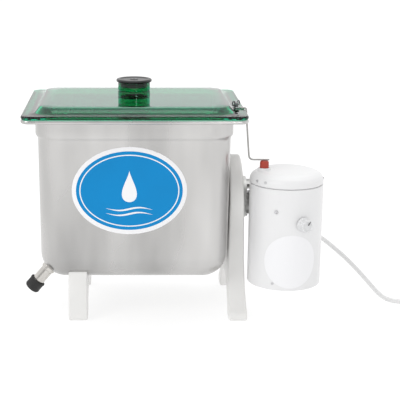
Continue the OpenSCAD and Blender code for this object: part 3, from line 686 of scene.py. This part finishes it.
pan_rings = pan_side(0)
for d, z, r in ((0, 296, 41), (0, 304, 41), (0.1, 309, 41), (0.5, 311.3, 40), (1.6, 312.9, 38),
                (3.6, 313.6, 34)):
    pan_rings.append(off_shoulder(d, z, r))
for d, z, r in ((10, 313.8, 18), (6.4, 313.8, 10), (5.9, 313.2, 8)):
    pan_rings.append(off_rim(d, z, r))
for angle in range(170, -181, -18):
    a = math.radians(angle)
    x, z = 3 - 3 * math.cos(a), 311.75 - 3.15 * math.sin(a)
    if angle < -100:
        break
    pan_rings.append(off_rim(x, z, 13 - x))
for d, z, r in ((6, 314.95, 10), (10, 314.92, 18)):
    pan_rings.append(off_rim(d, z, r))
for d, z, r in ((2.4, 314.6, 34), (0.3, 313.6, 38), (-0.9, 311.6, 39.6), (-1.2, 309, 39.8), (-1.2, 304, 39.8),
                (-1.2, 296, 39.8)):
    pan_rings.append(off_shoulder(d, z, r))
pan_rings += pan_side(1.2)[::-1]
pan = make("pan_sheet", bridge(pan_rings, start=True, end=True), steel, "frame",
           ("tank", "tank_floor", "tank_rim"), sharp=50)

nut_ring = [(3, pan_base - 9), (7.6, pan_base - 9), (8, pan_base - 8.6), (8, pan_base + 0.6),
            (3, pan_base + 0.6)]
nuts = merged(*[placed(turned(nut_ring + nut_ring[:1], 32), Matrix.Translation((mid_x - 83.4, side * 40, 0)))
                for side in (-1, 1)])
make("weld_nut_pair", nuts, zinc, "frame")

drain_dir = Vector((-math.cos(math.radians(50)), 0, -math.sin(math.radians(50))))
drain_at = Vector((mid_x - 129.9, -72, 75.2))
drain_place = frame_at(drain_at, drain_dir, (0, 1, 0))
hole = placed(turned([(0, -24), (9.3, -24), (9.3, 14), (0, 14)], 48), drain_place)
shaft_hole = placed(turned([(0, 0), (17, 0), (17, 30), (0, 30)], 64),
                    frame_at((mid_x + 125, 0, axis_z), (1, 0, 0), (0, 0, 1)))
cut(pan, hole, shaft_hole, sharp=50)

# Drain: welded collar and turned pipe, with a moulded rubber cap
pipe_line = soft([(9.25, -6), (9.25, 34.2, 0.6), (8.6, 35, 0.5), (7.75, 35, 0.5), (7.75, -10), (9.25, -10)])
collar_line = soft([(9.2, -7), (11, -7, 0.4), (11, 0.2, 0.8), (10.2, 1.4, 0.9), (9.2, 1.6)])
drain_parts = merged(placed(turned(pipe_line + pipe_line[:1], 64), drain_place),
                     placed(turned(collar_line + collar_line[:1], 64), drain_place))
make("drain_pipe_turned", drain_parts, pipe_steel, "frame", ("drain_pipe",))
cap_line = soft([(9.4, 24.0), (9.6, 23.5, 0.3), (12.2, 23.5, 0.7), (12.2, 26.6, 0.5), (11.7, 27.1, 0.3),
                 (11.7, 35.2, 1.5), (12.1, 38.2, 2.4), (10.0, 41.3, 2.6), (3.2, 41.5, 0.8), (2.6, 40.8, 0.4),
                 (0, 40.7)])
cap_line += [(0, 36.5), (9.4, 36.5), (9.4, 24.0)]
make("drain_cap_moulded", placed(turned(cap_line, 64), drain_place), black_rubber, "drain_cap",
     ("drain_cap",),
     sharp=50)

# ---------------------------------------------------------------- stands

stand_edge = 3.0


def arch_line(y0, y1, steps=22):
    """Points of the arch between a stand's feet."""
    r = (70 ** 2 + 48 ** 2) / 2 / 48
    return [(y0 + (y1 - y0) * k / steps, 48 - r + math.sqrt(r * r - (y0 + (y1 - y0) * k / steps) ** 2))
            for k in range(steps + 1)]


def left_outline():
    """Left stand seen from its end: feet, arch, and a cradle that follows the pan's floor."""
    right = soft([(0, 0), (70.5, 0, 5), (104, 0, 7), (98.6, 77.8, 4), (0, 77.8)])
    cradle = []
    for k in range(0, 9):
        a = math.radians(-12 - 78 * k / 8)
        cradle.append((70.5 + 38.2 * math.cos(a), 103.5 + 38.2 * math.sin(a)))
    points = [(70.5, 0.0, 4), (104, 0, 7), (98.6, 78.5, 3)]
    top = [(y, z) for y, z in cradle if y < 96.5]
    points += [(top[0][0] + 0.2, 78.2, 1.5)] + [(y, z) for y, z in top[1:]]
    half = points + [(0, 65.4)]
    inner = [(y, z) for y, z in arch_line(68.5, 0) if z > 4]
    ring = half + [(-p[0],) + tuple(p[1:]) for p in reversed(half[:-1])]
    arch = [(-y, z) for y, z in inner] + inner[::-1][1:]
    return soft(ring + arch, True)


def stand_x(low_in, low_out, top_in, top_out, top_z):
    return (lambda y, z: low_in + (top_in - low_in) * z / top_z,
            lambda y, z: low_out + (top_out - low_out) * z / top_z)


low, high = stand_x(mid_x - 98.2, mid_x - 69, mid_x - 97.4, mid_x - 69.4, 110)
left = slab(left_outline(), low, high, stand_edge, put=lambda a, b, h: (h, a, b))
make("left_stand_moulded", left, stand_white, "frame", ("left_stand",), sharp=40)


def right_outline():
    """Right stand seen from its end: a round head, a waist, and feet that flare out."""
    head_r, waist_y, waist_z = 66, 57, 92
    flare = ((104 - waist_y) ** 2 + (waist_z - 12) ** 2) / 2 / (104 - waist_y)
    side = [(104, 0, 6), (104, 12, 8)]
    for z in range(20, 104, 6):
        side.append((waist_y + flare - math.sqrt(flare ** 2 - (z - waist_z) ** 2), z))
    side.append((58.6, 112))
    side.append((60.4, 132))
    for a in range(-18, 91, 6):
        side.append((head_r * math.cos(math.radians(a)), axis_z + head_r * math.sin(math.radians(a))))
    mirror = [(-p[0],) + tuple(p[1:]) for p in reversed(side[:-1])]
    inner = [(y, z) for y, z in arch_line(68.5, 0) if z > 4]
    arch = [(-70.5, 0, 4)] + [(-y, z) for y, z in inner] + inner[::-1][1:] + [(70.5, 0, 4)]
    return soft(side + mirror + arch, True)


head_z = axis_z + 66
low, high = stand_x(mid_x + 145.5, mid_x + 173.5, mid_x + 147, mid_x + 166.5, head_z)
right = slab(right_outline(), low, high, stand_edge, put=lambda a, b, h: (h, a, b))
right_stand = make("right_stand_moulded", right, stand_white, "frame", ("right_stand",), sharp=40)
cut(right_stand, placed(turned([(0, 0), (17.2, 0), (17.2, 60), (0, 60)], 64),
                        frame_at((mid_x + 130, 0, axis_z), (1, 0, 0), (0, 0, 1))), sharp=40)

# ---------------------------------------------------------------- label on the pan's front

wall_tilt = math.atan2(2.0, 175)
label_z = 206
label_at = Vector((mid_x - 6, -pan_wall(label_z)[1], label_z))
label_place = frame_at(label_at, (0, -math.cos(wall_tilt), -math.sin(wall_tilt)), (1, 0, 0))


def oval(w, h, count=120, wobble=None):
    out = []
    for k in range(count):
        a = 2 * math.pi * k / count
        s = 1 + (wobble(a) if wobble else 0)
        out.append((w / 2 * math.cos(a) * s, h / 2 * math.sin(a) * s))
    return out


def band(outer, inner, t0, t1):
    """Flat closed band between two outlines with the same count of points."""
    rings = [[(a, b, t0) for a, b in inner], [(a, b, t0) for a, b in outer],
             [(a, b, t1) for a, b in outer], [(a, b, t1) for a, b in inner]]
    return bridge(rings, loop=True)


make("front_film", placed(slab(oval(169.5, 132), 0.02, 0.35, 0.12, 2), label_place), film_white, "frame",
     ("front_label",))
make("front_print", placed(slab(oval(157, 119), 0.3, 0.45, 0.03, 1), label_place), film_blue, "frame",
     ("front_emblem",))
drop = []
for k in range(72):
    a = 2 * math.pi * k / 72
    drop.append((-17 * math.sin(a) * math.sin(a / 2) ** 2, 24 * math.cos(a) + 7))


def wave(y0, low=0.42, high=0.55):
    """Thin printed wave, fine at both ends."""
    rings = []
    for k in range(61):
        x = -34 + 68 * k / 60
        y, half = y0 + 2.2 * math.sin(x / 9.5), 0.12 + 1.2 * math.cos(math.pi / 2 * x / 34)
        rings.append([(x, y - half, low), (x, y + half, low), (x, y + half, high), (x, y - half, high)])
    return bridge(rings, start=True, end=True)


ring_print = band(oval(147, 109), oval(143.8, 105.8), 0.42, 0.55)
white_print = merged(ring_print, slab(drop, 0.42, 0.55, 0.02, 1), wave(-27.5), wave(-35))
make("front_print_white", placed(white_print, label_place), film_white, "frame")

# ---------------------------------------------------------------- lid

lid_z0 = rim_z + 0.05
lid_z1 = lid_z0 + 5


def panel_rings(inset, steps=8):
    """Rings up the lid's raised panel, from its foot to the edge of its top."""
    rings = []
    for k in range(steps + 1):
        t = k / steps
        out = 0.5 - 0.5 * math.cos(math.pi * t)
        rings.append((146.5 - 7.5 * (0.35 * t + 0.65 * out) - inset,
                      119 - 20.5 * (0.35 * t + 0.65 * out) - inset,
                      26 - 6 * t - inset * 0.8, lid_z1 + 8 * (0.12 * t + 0.88 * out)))
    return rings


lid_rings = [(143.7, 111, 38, lid_z0 - 5.6), (143.7, 111, 38, lid_z0), (152, 120, 24, lid_z0),
             (162.1, 130.6, 12, lid_z0), (163.2, 131.7, 12, lid_z0 + 0.3), (163.9, 132.4, 12, lid_z0 + 1.1),
             (164, 132.5, 12, lid_z0 + 2.5), (163.9, 132.4, 12, lid_z1 - 1.2), (163.5, 132, 12, lid_z1 - 0.5),
             (162.7, 131.2, 11.5, lid_z1 - 0.08), (161.7, 130.2, 11, lid_z1), (155, 127, 16, lid_z1)]
skin = [corner_ring(*r) for r in lid_rings] + [corner_ring(*r) for r in panel_rings(0)]
top_z = lid_z1 + 8


def hole_ring(r, z, like):
    ring = []
    for v in like:
        a = math.atan2(v.y, v.x - pan_x)
        ring.append(Vector((pan_x + r * math.cos(a), r * math.sin(a), z)))
    return ring


like = skin[-1]
flat = [like]
for r in (110, 80, 50):
    flat.append([p.lerp(q, 1 - r / 130) for p, q in zip(like, hole_ring(24.5, top_z, like))])
under = [[Vector((v.x, v.y, top_z - 3)) for v in ring] for ring in flat]
inner = [corner_ring(*r) for r in panel_rings(3)]
inner = [[Vector((v.x, v.y, v.z - 3)) for v in ring] for ring in inner]
skin += flat[1:] + [hole_ring(24.55, top_z, like), hole_ring(24.55, top_z - 3, like)]
skin += under[:0:-1] + inner[::-1]
skin += [corner_ring(140.8, 108, 35, lid_z0 + 1.6), corner_ring(140.8, 108, 35, lid_z0 - 5.6)]
make("lid_moulded", bridge(skin, loop=True), lid_green, "lid", ("lid",), sharp=45)

tube_line = soft([(21, 318), (21, 351.6, 0.5), (21.6, 352.1, 0.5), (23.9, 352.1, 0.5), (24.5, 351.5, 0.5),
                  (24.5, 340.2, 0.3), (23.8, 339.7, 0.3),
                  (23.8, 338.9, 0.3), (24.5, 338.4, 0.3), (24.5, 316.4, 0.4), (21, 316.3, 0.4)])
tube_place = Matrix.Translation((pan_x, 0, 0))
make("fill_tube_turned", placed(turned(tube_line + tube_line[:1], 96), tube_place), tube_green, "lid",
     ("fill_tube",), sharp=45)
stopper = soft([(0, 344.1), (20.2, 344.1, 0.5), (20.6, 345, 0.4), (20.6, 352.2), (26.3, 352.2, 0.6),
                (27, 353.2, 0.8),
                (27, 355.3, 1.1), (25.4, 356.45, 1.2), (22.6, 356.45, 0.5), (20.4, 355.3, 0.7),
                (7, 355.3, 0.7),
                (5.4, 356.3, 0.6), (1.4, 356.3, 0.4), (1.0, 355.8, 0.2), (0, 355.8)])
make("stopper_moulded", placed(turned(stopper, 96), tube_place), cap_black, "fill_cap", ("fill_cap",),
     sharp=50)

# Interlock arm: a bar that lies on the lid and a bent rod down to the button
arm_r = 1.3
arm_y = -65 + 2 + arm_r + 0.1
bar_z = lid_z1 + arm_r + 0.1
button_lo, button_hi = span("safety_button")
arm_z = 241.4 + 0.3 + arm_r
elbow = [(mid_x + 149.4, arm_y, bar_z), (mid_x + 155, arm_y, bar_z), (mid_x + 160, arm_y, bar_z),
         (mid_x + 164.2, arm_y, bar_z), (mid_x + 166.9, arm_y, bar_z - 1), (mid_x + 168, arm_y, bar_z - 4),
         (mid_x + 169.7, arm_y, bar_z - 26), (mid_x + 171.5, arm_y, bar_z - 48),
         (mid_x + 173.8, arm_y, arm_z + 6),
         (mid_x + 175.8, arm_y, arm_z + 1.6), (mid_x + 179.6, arm_y, arm_z),
         (mid_x + 190, arm_y - 0.6, arm_z),
         (mid_x + 203.7, arm_y - 1.4, arm_z)]
make("interlock_rod", swept(catmull(elbow, 5), arm_r, 16), wire_steel, "lid",
     ("interlock_arm",), sharp=50)

stud_at = Vector((mid_x + 152, -65, 0))
stud_line = [(0, lid_z1 - 3.4)]
for i in range(21):
    z = lid_z1 - 3 + 0.7 * i
    stud_line += [(1.95, z), (1.65, z + 0.35)]
stud_line += [(1.9, lid_z1 + 12), (1.3, lid_z1 + 12.3), (0, lid_z1 + 12.3)]
make("stud_threaded", placed(turned(stud_line, 24), Matrix.Translation(stud_at)), zinc, "lid",
     ("clamp_stud",), sharp=70)
washer_z = bar_z + arm_r
washer_line = soft([(2.1, washer_z), (5.2, washer_z, 0.2), (5.4, washer_z + 0.3, 0.2),
                    (5.4, washer_z + 0.8, 0.2),
                    (5.1, washer_z + 1, 0.2), (2.1, washer_z + 1)])
make("washer_pressed", placed(turned(washer_line + washer_line[:1], 40), Matrix.Translation(stud_at)), zinc,
     "lid",
     ("clamp_washer",))
nut_z = washer_z + 1.1
hub_line = soft([(2.06, nut_z), (3.5, nut_z, 0.4), (3.8, nut_z + 0.5, 0.4), (3.5, nut_z + 2.4, 0.6),
                 (3.2, nut_z + 4.6, 0.5),
                 (2.9, nut_z + 5, 0.3), (2.06, nut_z + 5)])
hub = placed(turned(hub_line + hub_line[:1], 32), Matrix.Translation(stud_at))
wings = []
for side in (0, 180):
    turn = Matrix.Translation(stud_at) @ Matrix.Rotation(math.radians(50 + side), 4, "Z")
    loop = []
    for k in range(28):
        a = 2 * math.pi * k / 28
        loop.append(turn @ Vector((6.1 + 3.1 * math.cos(a), 0, nut_z + 5.2 + 3.2 * math.sin(a))))
    wings.append(swept(loop, 0.8, 12, closed=True))
make("wing_nut_forged", merged(hub, *wings), wing_metal, "wing_nut", ("wing_nut",), sharp=50)

# ---------------------------------------------------------------- motor housing


def polar(bearing, r, z):
    """Place at a bearing from the housing's front, towards the right."""
    a = math.radians(bearing)
    return house + Vector((r * math.sin(a), -r * math.cos(a), z))


def out_of_wall(bearing, z, r=0.0):
    a = math.radians(bearing)
    return frame_at(polar(bearing, r, z), (math.sin(a), -math.cos(a), 0), (math.cos(a), math.sin(a), 0))


bore_r = house_r - 3.2
shell_line = soft([(bore_r, 53.4), (bore_r + 0.5, 53, 0.3), (house_r - 0.6, 53, 0.6), (house_r, 53.8, 0.6),
                   (house_r, 206.9, 0.6), (house_r - 1.1, 207.8, 0.3), (bore_r, 207.8)])
shell = make("housing_tube", placed(turned(shell_line + shell_line[:1], 160), Matrix.Translation(house)),
             shell_white, "frame", ("motor_housing",), sharp=35)
way_x = (case_lo.x - 1.5, span("gearbox_outer")[1].x + 1.5)
ways = [placed(turned([(0, 0), (35, 0), (35, way_x[1] - way_x[0]), (0, way_x[1] - way_x[0])], 96),
               frame_at((way_x[0], 0, axis_z), (1, 0, 0), (0, 0, 1))),
        placed(turned([(0, 0), (25.5, 0), (25.5, 60), (0, 60)], 96),
               frame_at((way_x[0] - 50, 0, axis_z), (1, 0, 0), (0, 0, 1))),
        placed(turned([(0, -15), (6, -15), (6, 20), (0, 20)], 32), gland_place)]
cut(shell, *ways, sharp=35)


def true_round(obj, centre):
    """Gives faces that lie on an upright cylinder their exact normals, so cuts leave no shading marks."""
    mesh = obj.data
    normals = [Vector(n.vector) for n in mesh.corner_normals]
    for poly in mesh.polygons:
        if abs(poly.normal.z) > 0.05:
            continue
        for loop in poly.loop_indices:
            co = mesh.vertices[mesh.loops[loop].vertex_index].co / MM
            out = Vector((co.x - centre.x, co.y - centre.y, 0)).normalized()
            if abs(out.dot(poly.normal)) > 0.97:
                normals[loop] = out if out.dot(poly.normal) > 0 else -out
    mesh.normals_split_custom_set([tuple(n) for n in normals])


true_round(shell, house)

# Lower plate, set up inside the tube
plate_line = soft([(0, 54), (51.2, 54, 0.6), (52.1, 54.8, 0.5), (52.1, 68), (48.2, 68), (48.2, 57, 1.5),
                   (0, 57)])
make("base_plate", placed(turned(plate_line, 128), Matrix.Translation(house)), shell_white, "frame",
             ("housing_base",))

# Cap: turned shell with a soft shoulder, a shallow flat top, and a boss round the button
cap_line = soft([(0, 227.1), (34.6, 227.1, 1.5), (36.8, 227.5, 1.5), (39.5, 227.4, 4), (46.8, 225, 8),
                 (52.3, 221.2, 6),
                 (55.2, 216.2, 4), (55.4, 213, 2), (55.4, 209.6, 0.6), (54.2, 208.6, 0.3), (52.1, 208.6),
                 (52.1, 200.2, 0.4),
                 (48.9, 199.8, 0.4), (48.9, 213.4, 2), (44, 222.4, 4), (36, 224.3, 4), (0, 224.3)])
cap = make("housing_lid", placed(turned(cap_line, 160), Matrix.Translation(house)), shell_white, "frame",
           ("housing_cap",))
button_at = Vector(((button_lo.x + button_hi.x) / 2, (button_lo.y + button_hi.y) / 2, 0))
boss_line = soft([(7.1, 226), (7.1, 230.6, 0.3), (7.5, 231, 0.3), (9.0, 231, 0.5), (9.4, 230.4, 0.5),
                  (9.6, 228, 1.2),
                  (10.6, 226, 0.8), (10.6, 222.5), (7.1, 222.5)])
cut(cap, ways[0], placed(turned([(0, 220), (7.4, 220), (7.4, 236), (0, 236)], 48),
                         Matrix.Translation(button_at)), sharp=35)
make("button_boss", placed(turned(boss_line + boss_line[:1], 64), Matrix.Translation(button_at)),
     shell_white, "frame")

# Seam between the cap and the tube: a shadow gap closed by the spigot behind it


def screw_head(r, rise, socket=0.55, count=24):
    """Low domed head with a hexagonal socket, its seat at height 0."""
    rings = []
    for q, z in ((1.0, -0.3), (1.0, rise * 0.35), (0.93, rise * 0.7), (0.8, rise * 0.93), (0.66, rise)):
        rings.append([(r * q * math.cos(2 * math.pi * k / count), r * q * math.sin(2 * math.pi * k / count),
                       z)
                      for k in range(count)])
    for s, z in ((socket, rise), (socket, rise * 0.25)):
        ring = []
        for k in range(count):
            a = 2 * math.pi * k / count
            flat_r = r * s * math.cos(math.pi / 6) / math.cos((a + math.pi / 6) % (math.pi / 3) - math.pi / 6)
            ring.append((flat_r * math.cos(a), flat_r * math.sin(a), z))
        rings.append(ring)
    return bridge(rings, start=True, end=True)


cap_screw_parts = [placed(screw_head(2.2, 0.9), out_of_wall(b, 216, 55.1)) for b in (-59, -42, 80, 170)]
make("cap_screw_heads", merged(*cap_screw_parts), zinc, "frame", ("cap_screws",))
base_screw_parts = [placed(screw_head(2.2, 0.9), out_of_wall(b, 63.5, house_r + 0.05)) for b in (-25, 95,
                                                                                                 215)]
make("base_screw_heads", merged(*base_screw_parts), zinc, "frame", ("base_screws",))
hs_lo, hs_hi = span("housing_screw")
hs_at = Vector(((hs_lo.x + hs_hi.x) / 2, hs_lo.y, (hs_lo.z + hs_hi.z) / 2))
hs_place = frame_at(hs_at + Vector((0, 1.6, 0)), (0, -1, 0), (1, 0, 0))
make("housing_screw_head", placed(screw_head(2.6, 1.4), hs_place), zinc, "frame", ("housing_screw",))

# Round film on the housing's front
film_rings = []
film_r, film_z, film_b = 41.0, 98.0, 3.0
for side, offset in ((0, 0.36), (1, 0.02)):
    for rho in ((0.02, 0.2, 0.4, 0.6, 0.8, 0.93, 1.0) if side == 0 else (1.0, 0.6, 0.02)):
        ring = []
        for k in range(96):
            a = 2 * math.pi * k / 96
            arc, z = rho * film_r * math.cos(a), rho * film_r * math.sin(a)
            rise = offset if rho < 0.999 else offset * 0.7
            ring.append(polar(film_b + math.degrees(arc / house_r), house_r + rise, film_z + z))
        film_rings.append(ring)
make("housing_film", bridge(film_rings, start=True, end=True), film_white, "frame", ("motor_label",),
     sharp=60)

# Speed knob: fluted skirt, a face with a raised rim, and a raised pointer bar whose dark grey is painted
# shade standing in for a pointer notch
knob_count = 96
knob_rings = []


def knob_ring(r, z, flute=0.0):
    ring = []
    for k in range(knob_count):
        a = 2 * math.pi * k / knob_count
        dent = flute * (0.5 + 0.5 * math.cos(12 * a)) ** 3
        ring.append(((r - dent) * math.cos(a), (r - dent) * math.sin(a), z))
    return ring


for r, z, flute in ((8.0, 57.2, 0), (10.1, 57.1, 0), (10.5, 57.6, 0), (10.5, 59.2, 0), (10.0, 59.8, 0.1),
                    (9.7, 60.6, 0.6),
                    (9.4, 66, 0.7), (9.2, 70, 0.7), (8.9, 71.3, 0.6), (8.3, 71.9, 0.3), (7.3, 72, 0),
                    (6.7, 71.7, 0),
                    (6.3, 71.0, 0), (5.4, 70.8, 0), (0.02, 70.8, 0)):
    knob_rings.append(knob_ring(r, z, flute))
knob_rings += [knob_ring(r, z) for r, z in ((0.02, 60.5), (8.0, 60.5))]
knob_z = 156
knob_place = out_of_wall(19.5, knob_z)
pointer = slab(soft([(-0.7, 2.0, 0.3), (0.7, 2.0, 0.3), (0.7, 8.6, 0.3), (-0.7, 8.6, 0.3)], True), 70.3,
               72.15, 0.2, 2)
shaft = turned([(0, 40.1), (2.9, 40.1), (2.95, 60.8), (0, 60.8)], 32)
knob_turn = knob_place @ Matrix.Rotation(math.radians(-30), 4, "Z")
make("speed_knob_moulded", placed(merged(bridge(knob_rings, loop=True), shaft), knob_turn), knob_grey,
     "knob", ("speed_knob",),
     sharp=40)
# the pointer's dark grey is painted shade of a notch
make("knob_pointer", placed(pointer, knob_turn), notch_shade_grey, "knob")

# Safety button
button_line = soft([(0, 229.7), (6.4, 229.7, 0.3), (6.7, 230.1, 0.3), (6.7, 239.2, 1.2), (5.6, 241.2, 0.9),
                    (0, 241.4)])
stem = turned([(0, 215.1), (2.35, 215.1), (2.35, 230.2), (0, 230.2)], 24)
make("button_moulded", merged(placed(turned(button_line, 64), Matrix.Translation(button_at)),
                              placed(stem, Matrix.Translation(button_at))), button_red, "button",
     ("safety_button",), sharp=40)

# Gland: moulded collar with a ribbed nut on the housing's wall
collar_line = soft([(5.6, -1), (8.4, -1), (8.4, 3, 0.5), (7.9, 3.6, 0.4), (7.9, 8.4, 0.6), (7.4, 9, 0.4),
                    (5.6, 9)])
gland_rings = []
for r, z in collar_line:
    ring = []
    for k in range(96):
        a = 2 * math.pi * k / 96
        rib = 0.35 * (0.5 - 0.5 * math.cos(24 * a)) if z > 3.2 and r > 7 else 0
        ring.append(((r - rib) * math.cos(a), (r - rib) * math.sin(a), z))
    gland_rings.append(ring)
make("gland_collar", placed(bridge(gland_rings, loop=True), gland_place), cord_white, "frame",
     ("cable_gland",), sharp=50)

# ---------------------------------------------------------------- paddle, drive and inner parts

# Inner parts keep their CAD shapes, with softened edges: node, material, width, then steps and sharpness
for part_finish in (
        ("paddle_blade", paddle_steel, 0.35), ("paddle_shaft", paddle_steel, 0.4),
        ("drive_shaft", zinc, 0.4), ("cross_pin", zinc, 0.4), ("end_bearing", bearing_plastic, 0.6),
        ("seal_housing", die_cast, 0.8), ("shaft_seal", black_rubber, 0.4), ("seal_screws", zinc, 0.4),
        ("drive_neck", die_cast, 1.0, 3), ("neck_screws", zinc, 0.3), ("gearbox_inner", die_cast, 0.9, 3),
        ("gearbox_outer", die_cast, 0.9, 3), ("gearbox_bolts", zinc, 0.4),
        ("shaft_bearings", ring_steel, 0.4), ("worm_bearings", ring_steel, 0.4), ("worm_wheel", brass, 0),
        ("worm_shaft", ring_steel, 0, 2, 60), ("rotor_core", core_iron, 0.4), ("stator", copper, 0.8),
        ("motor_can", dark_enamel, 0.8), ("motor_flange", die_cast, 0.6), ("stand_screws", zinc, 0.4),
        ("board_carrier", dark_plastic, 0.3), ("control_board", board_green, 0.15),
        ("board_parts", dark_plastic, 0.5), ("potentiometer", dark_plastic, 0.3), ("pot_nut", zinc, 0.3),
        ("safety_switch", dark_plastic, 0.5),
):
    eased(*part_finish)

# ---------------------------------------------------------------- floor and light

floor_mesh = bpy.data.meshes.new("floor")
floor_mesh.from_pydata([(-40, -20, 0), (40, -20, 0), (40, 60, 0), (-40, 60, 0)], [], [(0, 1, 2, 3)])
floor = in_scene("floor", floor_mesh)
floor_paper = new_material("floor_paper", (0.3, 0.3, 0.3), 0.9, Emission_Strength=0.74)
floor_paper.node_tree.nodes["Principled BSDF"].inputs["Emission Color"].default_value = (1, 1, 1, 1)
bump(floor_paper, noise(floor_paper, stretched(floor_paper, (1, 1, 1)), 60, 3), 0.02, 0.2)
floor_mesh.materials.append(floor_paper)

world = bpy.data.worlds.new("studio")
bpy.context.scene.world = world
world.use_nodes = True
sky = world.node_tree.nodes["Background"]
sky.inputs["Color"].default_value = (1, 1, 1, 1)

# a white tent, a little darker low on the open side where the camera looks in
tent = world.node_tree.nodes
way = tent.new("ShaderNodeTexCoord")
parts = tent.new("ShaderNodeSeparateXYZ")
fade = tent.new("ShaderNodeMapRange")
fade.interpolation_type = "SMOOTHSTEP"
for name, value in (("From Min", -0.95), ("From Max", -0.1), ("To Min", 0.42), ("To Max", 1.04)):
    fade.inputs[name].default_value = value
world.node_tree.links.new(way.outputs["Generated"], parts.inputs["Vector"])
world.node_tree.links.new(parts.outputs["Y"], fade.inputs["Value"])
world.node_tree.links.new(fade.outputs["Result"], sky.inputs["Strength"])


def lamp(name, place, aim, size, power, tall):
    """Soft light of size by tall metres, turned towards a point."""
    data = bpy.data.lights.new(name, "AREA")
    data.shape = "RECTANGLE"
    data.size, data.size_y = size, tall
    data.energy = power
    obj = in_scene(name, data)
    obj.location = place
    obj.rotation_euler = (Vector(aim) - Vector(place)).to_track_quat("-Z", "Y").to_euler()
    return obj


lamp("key_light", (-1.7, -1.7, 1.7), (0, 0, 0.15), 1.2, 20, 1.2)
lamp("strip_light", (0.6, -2.3, 0.9), (0.05, 0, 0.2), 0.16, 5, 1.1)
lamp("top_light", (0.0, 0.6, 2.8), (0, 0, 0.2), 2.4, 16, 1.8)

bpy.context.scene.view_settings.view_transform = "Standard"
